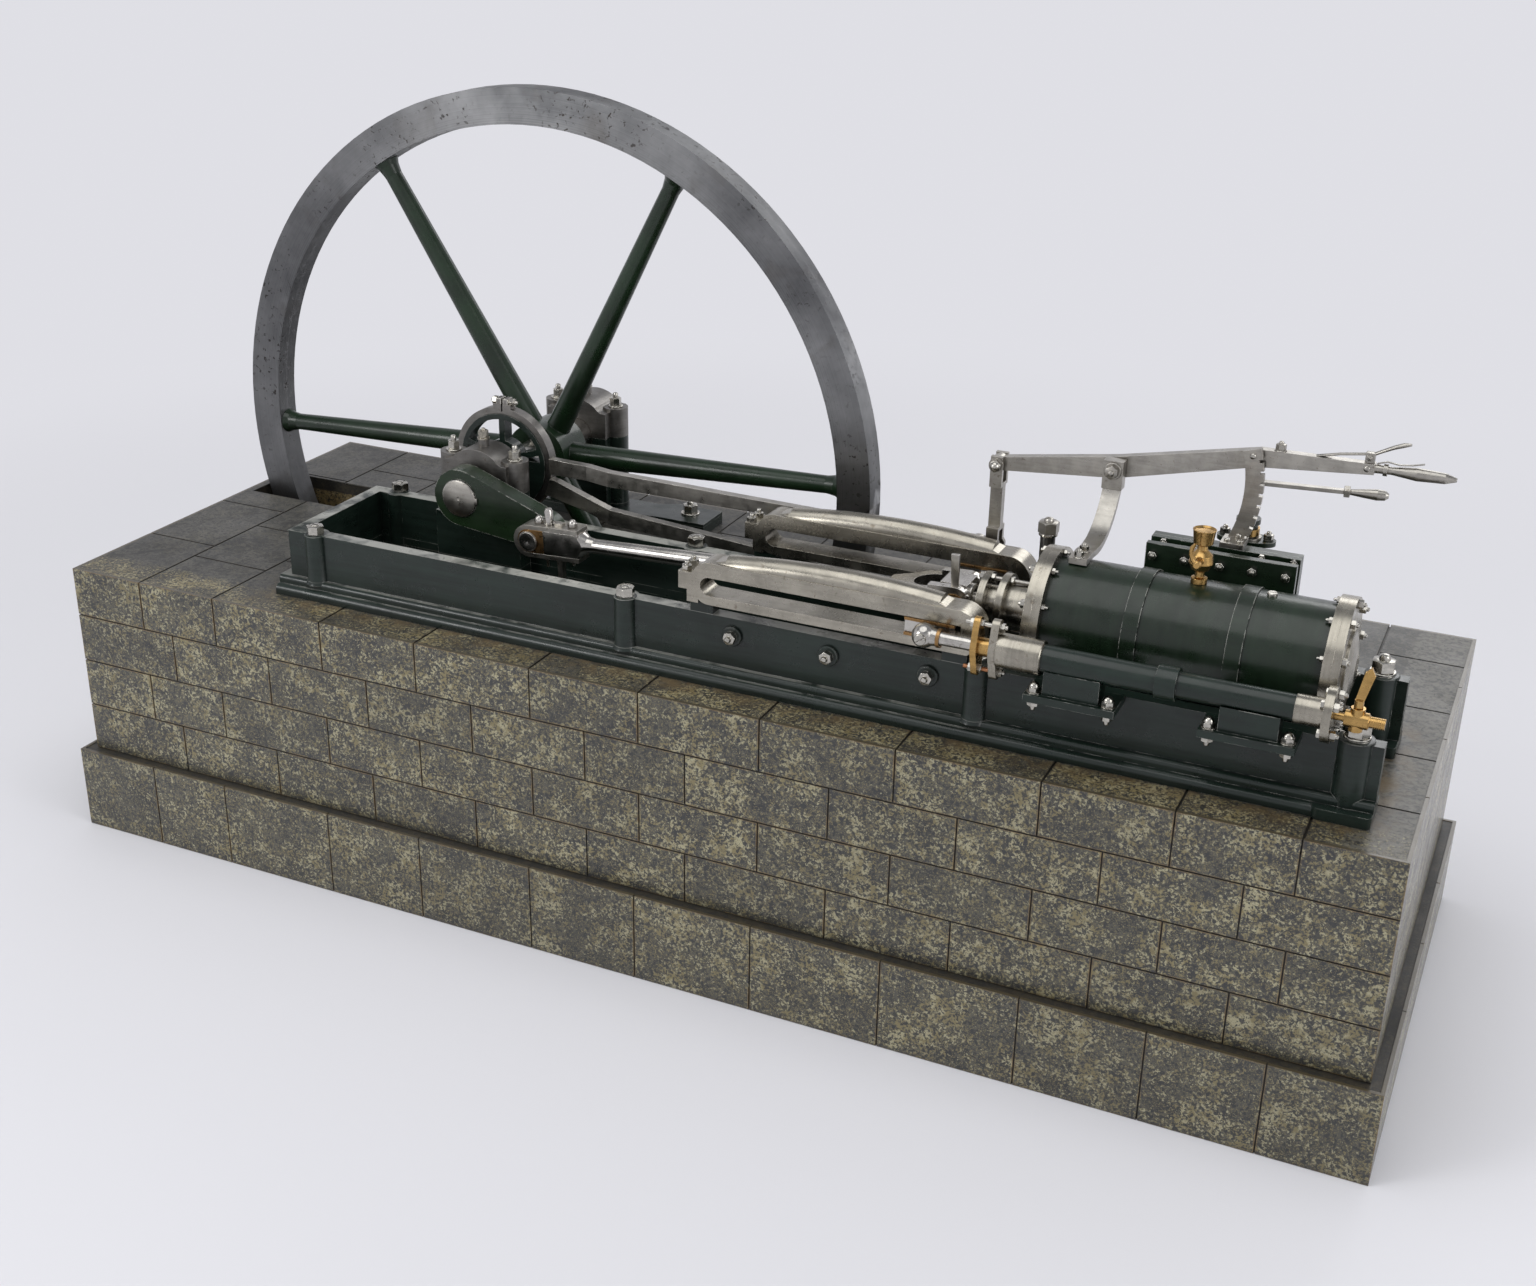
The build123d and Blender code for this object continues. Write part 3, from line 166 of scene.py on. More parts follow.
def layFloor(values):
    mesh = bpy.data.meshes.new("studioFloor")
    mesh.from_pydata([(-14, -14, 0), (14, -14, 0), (14, 14, 0), (-14, 14, 0)], [], [(0, 1, 2, 3)])
    floor = bpy.data.objects.new("studioFloor", mesh)
    floor.location.z = -0.0004
    bpy.context.scene.collection.objects.link(floor)
    paper = bpy.data.materials.new("floorPaper")
    paper.use_nodes = True
    tree = paper.node_tree
    shader = tree.nodes["Principled BSDF"]
    shader.inputs["Base Color"].default_value = values["floorColour"]
    shader.inputs["Roughness"].default_value = 0.9
    where = addNode(tree, "TexCoord").outputs["Object"]
    far = addNode(tree, "VectorMath", {0: where}, operation="LENGTH").outputs["Value"]
    fade = addNode(tree, "MapRange", {"Value": far, "From Min": values["fadeFrom"], "From Max": values["fadeTo"]},
                   interpolation_type="SMOOTHSTEP").outputs[0]
    plain = addNode(tree, "Emission", {"Color": (*values["paper"], 1)})
    share = maths(tree, "MULTIPLY", fade, seenByEye(tree))
    both = addNode(tree, "MixShader", {0: share, 1: shader.outputs[0], 2: plain.outputs[0]})
    tree.links.new(both.outputs[0], tree.nodes["Material Output"].inputs["Surface"])
    mesh.materials.append(paper)


for lampValues in studio["lamps"]:
    addLamp(*lampValues)
setWorld(studio)
layFloor(studio)
bpy.context.scene.view_settings.view_transform = "Standard"
say("lights and floor set")


def newFinish(name):
    finish = bpy.data.materials.new(name)
    finish.use_nodes = True
    tree = finish.node_tree
    return finish, tree, tree.nodes["Principled BSDF"], addNode(tree, "TexCoord").outputs["Object"]


def noise(tree, where, scale, detail=4, rough=0.6, twist=0.0):
    node = addNode(tree, "TexNoise", {"Vector": where, "Scale": scale, "Detail": detail, "Roughness": rough,
                                      "Distortion": twist})
    return node.outputs["Fac"]


def dabs(tree, where, scale, low, high, top=1.0, detail=3):
    return ramp(tree, noise(tree, where, scale, detail, 0.55, 0.5), (low, 0.0), (high, top))


def blend(tree, amount, first, second, how="MIX"):
    second = (*second, 1) if isinstance(second, tuple) else second
    node = addNode(tree, "Mix", {0: amount, 6: first, 7: second}, data_type="RGBA", blend_type=how)
    return node.outputs[2]


def stretched(tree, where, scales):  # for strokes and scratches that run one way
    return addNode(tree, "VectorMath", {0: where, 1: scales}, operation="MULTIPLY").outputs["Vector"]


def axisOf(tree, vector, letter):
    return addNode(tree, "SeparateXYZ", {"Vector": vector}).outputs[letter]


def between(tree, value, low, high):
    node = addNode(tree, "MapRange", {"Value": value, "From Min": low, "From Max": high})
    return node.outputs[0]


def edgeMask(tree, radius, low, high):
    soft = addNode(tree, "Bevel", {"Radius": radius}, samples=4).outputs["Normal"]
    sharp = addNode(tree, "NewGeometry").outputs["Normal"]
    same = addNode(tree, "VectorMath", {0: soft, 1: sharp}, operation="DOT_PRODUCT").outputs["Value"]
    return ramp(tree, maths(tree, "SUBTRACT", 1.0, same), (low, 0.0), (high, 1.0))


def cornerDirtAndShadeMask(tree, reach, low=0.45, high=0.85):  # darker where the AO node finds faces close by: painted shade in corners and recesses, together with dirt and oil
    open_ = addNode(tree, "AmbientOcclusion", {"Distance": reach}, samples=5).outputs["AO"]
    return ramp(tree, open_, (low, 1.0), (high, 0.0))


def roundedBump(tree, shader, height, strength, distance, radius=0.0004):
    inputs = {"Height": height, "Strength": strength, "Distance": distance}
    inputs["Normal"] = addNode(tree, "Bevel", {"Radius": radius}, samples=4).outputs["Normal"]
    bump = addNode(tree, "Bump", inputs)
    tree.links.new(bump.outputs["Normal"], shader.inputs["Normal"])


stonePaint = {
    "ink": (0.014, 0.015, 0.018),
    "moss": (0.048, 0.046, 0.035),
    "ochre": (0.185, 0.152, 0.068),
    "cream": (0.35, 0.325, 0.205),
    "edge": (0.17, 0.105, 0.032),
    "ledge": (0.055, 0.042, 0.020),  # plain brown on what faces up
    "blotch": 26.0,  # sponge prints to the metre
    "speck": 420.0,
    "crowding": 1.0,
    "rough": 0.5,
    "coat": 0.6,
}


def stoneFinish(name, values, stain=None, pale=None, front=None):
    finish, tree, shader, where = newFinish(name)
    cloud = noise(tree, where, values["blotch"], 5, 0.65)
    crowd = noise(tree, where, values["blotch"] * 1.3, 4, 0.62, 0.3)
    colour = ramp(tree, cloud, (0.38, values["ink"]), (0.58, values["moss"]))
    sponge = dabs(tree, where, values["blotch"] * 5.5, 0.48, 0.55, 0.7)
    colour = blend(tree, sponge, colour, tuple(c * 1.55 for c in values["moss"]))
    dots = noise(tree, where, values["speck"], 3, 0.6, 0.4)
    mixed = maths(tree, "ADD", maths(tree, "MULTIPLY", dots, 0.6), maths(tree, "MULTIPLY", crowd, 0.4))
    big = ramp(tree, mixed, (0.512, 0.0), (0.532, 1.0))
    share = values["crowding"]
    y = axisOf(tree, where, "Y")
    if front:  # the strip in front of the bed is sponged like the walls
        share = maths(tree, "MAXIMUM", between(tree, y, front + 0.012, front - 0.002), share)
    hue = ramp(tree, noise(tree, where, 120, 2), (0.42, values["ochre"]), (0.58, values["cream"]))
    colour = blend(tree, maths(tree, "MULTIPLY", big, share), colour, hue)
    fine = dabs(tree, where, values["speck"] * 2.2, 0.55, 0.60, 0.8, 2)
    colour = blend(tree, maths(tree, "MULTIPLY", fine, share), colour, values["ochre"])
    colour = blend(tree, dabs(tree, where, values["speck"] * 0.7, 0.54, 0.58, 0.9), colour, values["ink"])
    if pale:  # lighter boards beyond this place along X
        there = maths(tree, "MULTIPLY", between(tree, axisOf(tree, where, "X"), pale["from"], pale["from"] + 0.002),
                      dabs(tree, where, 210, 0.44, 0.56, 0.8))
        colour = blend(tree, there, colour, pale["colour"])
    if stain:  # rust and oil creeping from the bed over the slabs
        x = axisOf(tree, where, "X")
        offX = maths(tree, "SUBTRACT", maths(tree, "ABSOLUTE", maths(tree, "SUBTRACT", x, stain["centre"][0])),
                     stain["half"][0])
        offY = maths(tree, "SUBTRACT", maths(tree, "ABSOLUTE", maths(tree, "SUBTRACT", y, stain["centre"][1])),
                     stain["half"][1])
        off = maths(tree, "ADD", maths(tree, "MAXIMUM", offX, offY),
                    maths(tree, "MULTIPLY", noise(tree, where, 26, 4), 0.03))
        near = ramp(tree, between(tree, off, 0.0, 0.06), (0.25, 1.0), (0.62, 0.0))
        near = maths(tree, "MULTIPLY", near, dabs(tree, where, 62, 0.42, 0.60, 0.8, 5))
        colour = blend(tree, near, colour, stain["colour"])
    tone = addNode(tree, "NewGeometry").outputs["Random Per Island"]
    colour = blend(tree, 1.0, colour, ramp(tree, tone, (0.0, 0.86), (1.0, 1.12)), "MULTIPLY")
    rub = maths(tree, "MULTIPLY", edgeMask(tree, 0.0024, 0.01, 0.10), dabs(tree, where, 75, 0.38, 0.58))
    colour = blend(tree, rub, colour, values["edge"])
    if "ledge" in values:
        facing = axisOf(tree, addNode(tree, "NewGeometry").outputs["True Normal"], "Z")
        colour = blend(tree, between(tree, facing, 0.5, 0.9), colour, values["ledge"])
    # painted shade: faces in corners and recesses blend towards dark ink, shade there together with dirt
    dirtAndCornerShade = maths(tree, "MULTIPLY", cornerDirtAndShadeMask(tree, 0.008), 0.55)
    colour = blend(tree, dirtAndCornerShade, colour, tuple(c * 0.6 for c in values["ink"]))
    tree.links.new(colour, shader.inputs["Base Color"])
    rough = ramp(tree, cloud, (0.3, values["rough"] + 0.12), (0.7, values["rough"] - 0.06))
    tree.links.new(rough, shader.inputs["Roughness"])
    shader.inputs["Coat Weight"].default_value = values["coat"]
    shader.inputs["Coat Roughness"].default_value = 0.2
    roundedBump(tree, shader, maths(tree, "ADD", big, cloud), 0.22, 0.0004, 0.0008)
    return finish


darkStone = dict(stonePaint, ink=(0.013, 0.013, 0.012), moss=(0.038, 0.036, 0.031), ochre=(0.16, 0.13, 0.06),
                 cream=(0.27, 0.24, 0.14), edge=(0.035, 0.028, 0.018), blotch=18.0, crowding=0.10, rough=0.52,
                 coat=0.2)
del darkStone["ledge"]
bedLow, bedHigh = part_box("bed_front_rail")
rearLow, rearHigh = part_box("bed_rear_rail")
bedStain = {
    "centre": ((bedLow[0] + bedHigh[0]) / 2, (bedLow[1] + rearHigh[1]) / 2),
    "half": ((bedHigh[0] - bedLow[0]) / 2, (rearHigh[1] - bedLow[1]) / 2),
    "colour": (0.10, 0.068, 0.030),
}
stoneWall = stoneFinish("spongedStonePaint", stonePaint)
stoneTop = stoneFinish("smoothStonePaint", darkStone, bedStain, {"from": 0.541, "colour": (0.10, 0.095, 0.078)},
                       bedLow[1])
pitPaint = stoneFinish("pitWallPaint", dict(darkStone, moss=(0.10, 0.075, 0.035), ochre=(0.20, 0.14, 0.055),
                                            cream=(0.24, 0.19, 0.10), crowding=0.8, coat=0.15))
jointBrown = stoneFinish("jointPaint", dict(darkStone, moss=(0.022, 0.018, 0.012), edge=(0.03, 0.022, 0.014),
                                            crowding=0.05, coat=0.1))

greenPaint = {
    "bed": (0.0080, 0.0150, 0.0115),
    "wheel": (0.0060, 0.0170, 0.0065),
    "web": (0.0080, 0.0190, 0.0070),
    "barrel": (0.0065, 0.0145, 0.0070),
    "pump": (0.0060, 0.0140, 0.0098),
    "worn": (0.36, 0.36, 0.33),
    "gloss": 0.24,
}


def greenFinish(name, colour, values, worn=1.0, strokes=(18, 90, 150), tops=(), edge=0.0008):
    finish, tree, shader, where = newFinish(name)
    stroke = noise(tree, stretched(tree, where, strokes), 1.0, 4, 0.6)
    cloud = noise(tree, where, 16, 4, 0.6)
    mixed = maths(tree, "ADD", maths(tree, "MULTIPLY", stroke, 0.55), maths(tree, "MULTIPLY", cloud, 0.45))
    paint = ramp(tree, mixed, (0.36, tuple(c * 0.6 for c in colour)), (0.64, tuple(c * 1.45 for c in colour)))
    rub = maths(tree, "MULTIPLY", edgeMask(tree, edge, 0.02, 0.20), dabs(tree, where, 95, 0.45, 0.58, 1.0, 5))
    rub = maths(tree, "MULTIPLY", rub, worn, True)
    for level, strength in tops:  # faces at these heights are rubbed through to grey metal
        band = maths(tree, "MULTIPLY", between(tree, axisOf(tree, where, "Z"), level - 0.0003, level - 0.0001),
                     between(tree, axisOf(tree, where, "Z"), level + 0.0003, level + 0.0001))
        band = maths(tree, "MULTIPLY", band, between(tree, axisOf(tree, where, "X"), 0.274, 0.268))
        band = maths(tree, "MULTIPLY", band, dabs(tree, where, 42, 0.36, 0.54, strength, 6))
        rub = maths(tree, "MAXIMUM", rub, band)
    # painted shade: the paint turns to a darker copy of itself where faces meet, shade there together with oil
    oily = maths(tree, "MULTIPLY", cornerDirtAndShadeMask(tree, 0.010), 0.8)
    paint = blend(tree, oily, paint, tuple(c * 0.35 for c in colour))
    tree.links.new(blend(tree, rub, paint, values["worn"]), shader.inputs["Base Color"])
    dust = ramp(tree, noise(tree, where, 44, 5, 0.7), (0.35, values["gloss"]), (0.75, values["gloss"] + 0.22))
    tree.links.new(dust, shader.inputs["Roughness"])
    shader.inputs["Specular IOR Level"].default_value = 0.35
    shader.inputs["Coat Weight"].default_value = 0.18
    shader.inputs["Coat Roughness"].default_value = 0.12
    grainy = maths(tree, "ADD", noise(tree, where, 240, 3, 0.6), maths(tree, "MULTIPLY", stroke, 1.2))
    roundedBump(tree, shader, grainy, 0.20, 0.0005, 0.0007)
    return finish


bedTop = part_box("bed_left_end")[1][2]
bedGreen = greenFinish("bottleGreenPaint", greenPaint["bed"], greenPaint, 0.8, (10, 60, 260),
                       tops=((bedTop, 0.7), (0.278, 0.4), (0.271, 0.3)))
wheelGreen = greenFinish("spokeGreenGloss", greenPaint["wheel"], greenPaint, 0.2, (30, 60, 30))
barrelGreen = greenFinish("laggingGreenPaint", greenPaint["barrel"], greenPaint, 0.5, (120, 14, 14))
bandGreen = greenFinish("bandGreenPaint", greenPaint["barrel"], greenPaint, 2.5, edge=0.0012)
chestGreen = greenFinish("chestGreenPaint", greenPaint["barrel"], greenPaint, 1.6, tops=((0.398, 1.0),), edge=0.0010)
webGreen = greenFinish("crankGreenPaint", greenPaint["web"], greenPaint, 2.4, edge=0.0014)
pumpGreen = greenFinish("pumpGreenPaint", greenPaint["pump"], greenPaint, 0.9, (20, 110, 110))

# oil: strength of the painted corner shade and oil stain
steelLook = {
    "bright": {"colour": (0.52, 0.50, 0.465), "rough": (0.16, 0.28), "spot": 60.0, "oil": 0.5},
    "warm": {"colour": (0.38, 0.355, 0.30), "rough": (0.20, 0.34), "spot": 40.0, "oil": 0.8},
    "dull": {"colour": (0.43, 0.41, 0.37), "rough": (0.26, 0.40), "spot": 80.0, "oil": 0.5},
    "cast": {"colour": (0.24, 0.23, 0.215), "rough": (0.34, 0.48), "spot": 70.0, "oil": 0.5},
    "dark": {"colour": (0.13, 0.13, 0.125), "rough": (0.26, 0.42), "spot": 70.0, "oil": 0.5},
    "nut": {"colour": (0.52, 0.50, 0.45), "rough": (0.16, 0.28), "spot": 160.0, "oil": 0.5},
    "brass": {"colour": (0.50, 0.315, 0.115), "rough": (0.18, 0.32), "spot": 110.0, "oil": 0.6},
    "bronze": {"colour": (0.34, 0.20, 0.085), "rough": (0.22, 0.38), "spot": 110.0, "oil": 0.6},
    "copper": {"colour": (0.44, 0.20, 0.10), "rough": (0.2, 0.4), "spot": 140.0, "oil": 0.5},
}


def metalFinish(name, values, stain=(0.075, 0.048, 0.024), spots=0.5, strokes=(25, 25, 400)):
    finish, tree, shader, where = newFinish(name)
    cloud = noise(tree, where, values["spot"], 5, 0.65)
    brushed = noise(tree, stretched(tree, where, strokes), 1.0, 3, 0.7)
    mixed = maths(tree, "ADD", maths(tree, "MULTIPLY", cloud, 0.65), maths(tree, "MULTIPLY", brushed, 0.35))
    colour = ramp(tree, mixed, (0.36, tuple(c * 0.66 for c in values["colour"])), (0.60, values["colour"]))
    pits = dabs(tree, where, values["spot"] * 4, 0.62, 0.72, spots, 4)
    colour = blend(tree, pits, colour, stain)
    # painted shade: brown oil stain blended in where faces meet, a real oil line together with shade in corners
    oily = maths(tree, "MULTIPLY", cornerDirtAndShadeMask(tree, 0.002, 0.3, 0.75), values["oil"])
    colour = blend(tree, oily, colour, stain)
    # painted highlight: edges lightened to a brighter copy of the metal, partly worn polish and partly the glint of the
    # edge
    wornEdgeAndHighlight = maths(tree, "MULTIPLY", edgeMask(tree, 0.0005, 0.03, 0.25), 0.45)
    colour = blend(tree, wornEdgeAndHighlight, colour, tuple(min(c * 1.5, 0.9) for c in values["colour"]))
    tree.links.new(colour, shader.inputs["Base Color"])
    low, high = values["rough"]
    tree.links.new(ramp(tree, noise(tree, where, values["spot"] * 1.6, 4), (0.3, low), (0.7, high)),
                   shader.inputs["Roughness"])
    shader.inputs["Metallic"].default_value = 1.0
    roundedBump(tree, shader, maths(tree, "ADD", brushed, noise(tree, where, 500, 2)), 0.07, 0.0002)
    return finish


brightSteel = metalFinish("brightSteel", steelLook["bright"], strokes=(300, 40, 300))
guideSteel = metalFinish("oiledGuideSteel", steelLook["warm"], strokes=(14, 260, 260))
dullSteel = metalFinish("dullSteel", steelLook["dull"])
flangeSteel = metalFinish("turnedFlangeSteel", steelLook["warm"], strokes=(420, 12, 12))
castSteel = metalFinish("greyCastMetal", steelLook["cast"])
darkSteel = metalFinish("blackenedSteel", steelLook["dark"])
nutSteel = metalFinish("nickelledNut", steelLook["nut"], (0.05, 0.04, 0.03), 0.35)
oldBrass = metalFinish("agedBrass", steelLook["brass"], (0.13, 0.06, 0.025), 0.6)
bronze = metalFinish("agedBronze", steelLook["bronze"], (0.07, 0.035, 0.018), 0.7)
copper = metalFinish("copperBolt", steelLook["copper"])


def rimFinish(name, centre):
    finish, tree, shader, where = newFinish(name)
    spoke = addNode(tree, "VectorMath", {0: where, 1: centre}, operation="SUBTRACT").outputs["Vector"]
    radius = addNode(tree, "VectorMath", {0: spoke}, operation="LENGTH").outputs["Value"]
    rings = addNode(tree, "CombineXYZ", {"X": maths(tree, "MULTIPLY", radius, 900.0)})
    lathe = noise(tree, rings.outputs["Vector"], 1.0, 3, 0.7)
    cloud = noise(tree, where, 8, 5, 0.62)
    mixed = maths(tree, "ADD", maths(tree, "MULTIPLY", cloud, 0.75), maths(tree, "MULTIPLY", lathe, 0.25))
    colour = ramp(tree, mixed, (0.36, (0.115, 0.117, 0.121)), (0.62, (0.33, 0.332, 0.335)))
    patch = ramp(tree, noise(tree, where, 13, 3), (0.46, 0.15), (0.60, 1.0))
    pits = maths(tree, "MULTIPLY", dabs(tree, where, 210, 0.60, 0.66, 0.9), patch)
    colour = blend(tree, pits, colour, (0.045, 0.038, 0.034))
    colour = blend(tree, dabs(tree, where, 21, 0.56, 0.72, 0.35, 5), colour, (0.10, 0.085, 0.07))
    tree.links.new(colour, shader.inputs["Base Color"])
    tree.links.new(ramp(tree, maths(tree, "ADD", maths(tree, "MULTIPLY", lathe, 0.5),
                                    maths(tree, "MULTIPLY", cloud, 0.5)), (0.3, 0.42), (0.7, 0.56)),
                   shader.inputs["Roughness"])
    shader.inputs["Metallic"].default_value = 1.0
    shader.inputs["Anisotropic"].default_value = 0.9
    turned = addNode(tree, "VectorTransform", {"Vector": spoke}, vector_type="VECTOR", convert_from="OBJECT",
                     convert_to="WORLD")
    unit = addNode(tree, "VectorMath", {0: turned.outputs["Vector"]}, operation="NORMALIZE")
    tree.links.new(unit.outputs["Vector"], shader.inputs["Tangent"])
    height = maths(tree, "SUBTRACT", maths(tree, "MULTIPLY", lathe, 0.15), pits)
    roundedBump(tree, shader, height, 0.3, 0.0003, 0.0006)
    return finish


rimLow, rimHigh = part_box("flywheel_rim")
wheelCentre = [(rimLow[i] + rimHigh[i]) / 2 for i in range(3)]
rimSteel = rimFinish("brushedRimSteel", wheelCentre)

nodeFinish = {
    stoneWall: ["plinth_front", "plinth_rear", "plinth_left", "plinth_right"],
    pitPaint: ["pit_front", "pit_rear", "pit_end"],
    stoneTop: ["plinth_top_front", "plinth_top_rear", "plinth_top_end"],
    bedGreen: ["bed_floor", "bed_front_rail", "bed_rear_rail", "bed_left_end", "main_bearing_pedestal",
               "outer_bearing_foot", "outer_bearing_pedestal", "eccentric_sheave", "cylinder_saddle"],
    webGreen: ["crank_web"],
    barrelGreen: ["cylinder_barrel"],
    bandGreen: ["cylinder_bands"],
    chestGreen: ["steam_chest", "chest_cover", "stop_valve"],
    wheelGreen: ["flywheel_spokes"],
    pumpGreen: ["pump_barrel", "pump_feet"],
    rimSteel: ["flywheel_rim"],
    guideSteel: ["guide_front", "guide_rear"],
    flangeSteel: ["cylinder_flanges", "cover_left", "cover_right", "pump_ends"],
    brightSteel: ["crankshaft", "connecting_rod", "piston_rod", "pump_plunger",
                  "gudgeon_pin", "crosshead_block", "slide_blocks"],
    dullSteel: ["big_end_strap", "crank_pin_head", "eccentric_rod", "hand_lever", "lever_bracket", "lifting_link", "quadrant",
                "stop_valve_lever"],
    castSteel: ["main_bearing_cap", "outer_bearing_cap", "eccentric_strap"],
    darkSteel: ["stay_column"],
    oldBrass: ["lubricator", "drain_cock", "drain_cock_key", "pump_gland"],
    bronze: ["big_end_brasses", "slide_slippers"],
}
for finish, names in nodeFinish.items():
    for name in names:
        node = frame["nodes"][name]
        node.data.materials.clear()
        node.data.materials.append(finish)
missing = set(frame["nodes"]) - {n for names in nodeFinish.values() for n in names}
say("finishes on the frame, none missing" if not missing else "no finish on " + ", ".join(sorted(missing)))


# Pieces are drawn in millimetres, and makePiece turns them into metres.
def turnTo(axis):
    return Vector((0, 0, 1)).rotation_difference(Vector(axis)).to_matrix().to_4x4()


def standAt(place, axis):
    return Matrix.Translation(Vector(place)) @ turnTo(axis)


def addTurned(bm, place, axis, profile, sides=20, finish=0):
    at = standAt(place, axis)
    rings = []
    for along, radius in profile:
        if radius < 0.01:
            rings.append([bm.verts.new(at @ Vector((0, 0, along)))])
            continue
        turns = [2 * math.pi * i / sides for i in range(sides)]
        rings.append([bm.verts.new(at @ Vector((radius * math.cos(a), radius * math.sin(a), along))) for a in turns])
    joinRings(bm, rings, finish)


def addRing(bm, place, axis, inner, outer, height, finish=0, sides=28):
    at = standAt(place, axis)
    rings = []
    for along, radius in ((0, inner), (0, outer), (height, outer), (height, inner), (0, inner)):
        turns = [2 * math.pi * i / sides for i in range(sides)]
        if len(rings) < 4:
            rings.append([bm.verts.new(at @ Vector((radius * math.cos(a), radius * math.sin(a), along)))
                          for a in turns])
        else:
            rings.append(rings[0])
    joinRings(bm, rings, finish, False)


def joinRings(bm, rings, finish, closed=True):
    for low, high in zip(rings, rings[1:]):
        n = max(len(low), len(high))
        for i in range(n):
            j = (i + 1) % n
            if len(low) == 1:
                corners = [low[0], high[j], high[i]]
            elif len(high) == 1:
                corners = [low[i], low[j], high[0]]
            else:
                corners = [low[i], low[j], high[j], high[i]]
            bm.faces.new(corners).material_index = finish
    if not closed:
        return
    for ring, flip in ((rings[0], True), (rings[-1], False)):
        if len(ring) > 1:
            bm.faces.new(list(reversed(ring)) if flip else ring).material_index = finish


def addNut(bm, place, axis, flats, height, spin=0.3, finish=0, sides=6):
    at = standAt(place, axis)
    inner = flats / 2
    steps = sides * 4
    rings = [[], [], [], []]
    for i in range(steps):
        a = 2 * math.pi * i / steps
        wide = inner / math.cos((a % (2 * math.pi / sides)) - math.pi / sides)
        drop = (wide - inner * 0.96) * 0.55
        for ring, radius, along in ((rings[0], inner * 0.96, 0), (rings[1], wide, drop),
                                    (rings[2], wide, height - drop), (rings[3], inner * 0.96, height)):
            ring.append(bm.verts.new(at @ Vector((radius * math.cos(a + spin), radius * math.sin(a + spin), along))))
    joinRings(bm, rings, finish)


def addStud(bm, place, axis, radius, height, finish=0):
    crown = min(radius * 0.55, height * 0.6)
    addTurned(bm, place, axis, [(0, radius), (height - crown, radius), (height - crown * 0.35, radius * 0.8),
                                (height, radius * 0.35), (height, 0)], 14, finish)


def addFixing(bm, place, axis, flats, height=None, out=None, washer=0.0, spin=0.3, finish=0, washerFinish=0):
    at = Vector(place)
    way = Vector(axis).normalized()
    if washer:
        thick = flats * 0.11
        addTurned(bm, at, way, [(0, washer), (thick, washer), (thick + 0.3, washer - 0.4)], 24, washerFinish)
        at = at + way * (thick + 0.3)
    tall = height if height else flats * 0.62
    addNut(bm, at, way, flats, tall, spin, finish)
    addStud(bm, at + way * (tall - 0.1), way, flats * 0.27, (out if out else flats * 0.28) + 0.1, finish)


def addCapNut(bm, place, axis, flats, height, spin=0.3, finish=0):  # a nut with a closed, domed top
    way = Vector(axis).normalized()
    addNut(bm, place, way, flats, height * 0.5, spin, finish)
    ball = flats * 0.46
    rise = height * 0.5
    steps = [(0, ball), (rise * 0.4, ball * 0.92), (rise * 0.75, ball * 0.66), (rise * 0.95, ball * 0.3), (rise, 0)]
    addTurned(bm, Vector(place) + way * height * 0.49, way, steps, 18, finish)


def addBolt(bm, start, end, radius, finish=0):
    way = Vector(end) - Vector(start)
    addTurned(bm, start, way, [(0, radius), (way.length, radius)], 14, finish)


def addScrewHead(bm, place, axis, radius, height, slot=1.0, lie=0.5, finish=0):  # two half discs beside a slot
    at = standAt(place, axis) @ Matrix.Rotation(lie, 4, "Z")
    addTurned(bm, place, axis, [(0, radius), (height * 0.5, radius)], 24, finish)
    for side in (-1, 1):
        half = math.asin(slot / 2 / radius)
        turns = [half + (math.pi - 2 * half) * i / 12 for i in range(13)]
        rings = []
        for along, size in ((height * 0.45, 1.0), (height * 0.8, 1.0), (height, 0.86)):
            ring = [(radius * size * math.cos(a), max(side * radius * size * math.sin(a) * side, slot / 2) * side)
                    for a in turns]
            rings.append([bm.verts.new(at @ Vector((x, y, along))) for x, y in (ring if side > 0 else ring[::-1])])
        joinRings(bm, rings, finish)


def addBlock(bm, low, high, finish=0, soften=0.0):
    corners = [bm.verts.new((x, y, z)) for z in (low[2], high[2]) for y in (low[1], high[1])
               for x in (low[0], high[0])]
    faces = []
    for loop in ((0, 2, 3, 1), (4, 5, 7, 6), (0, 1, 5, 4), (2, 6, 7, 3), (1, 3, 7, 5), (0, 4, 6, 2)):
        faces.append(bm.faces.new([corners[i] for i in loop]))
        faces[-1].material_index = finish
    if soften:
        edges = list({e for f in faces for e in f.edges})
        bmesh.ops.bevel(bm, geom=edges, offset=soften, segments=2, profile=0.6, affect="EDGES")


def addPlate(bm, points, y0, y1, finish=0, soften=0.0):  # an outline in X and Z, from y0 to y1
    area = sum(a[0] * b[1] - b[0] * a[1] for a, b in zip(points, points[1:] + points[:1]))
    run = points if area > 0 else points[::-1]
    near = [bm.verts.new((x, y0, z)) for x, z in run]
    far = [bm.verts.new((x, y1, z)) for x, z in run]
    faces = [bm.faces.new(near), bm.faces.new(far[::-1])]
    n = len(run)
    for i in range(n):
        j = (i + 1) % n
        faces.append(bm.faces.new([near[j], near[i], far[i], far[j]]))
    for face in faces:
        face.material_index = finish
    if soften:
        edges = list({e for f in faces for e in f.edges})
        bmesh.ops.bevel(bm, geom=edges, offset=soften, segments=2, profile=0.6, affect="EDGES")


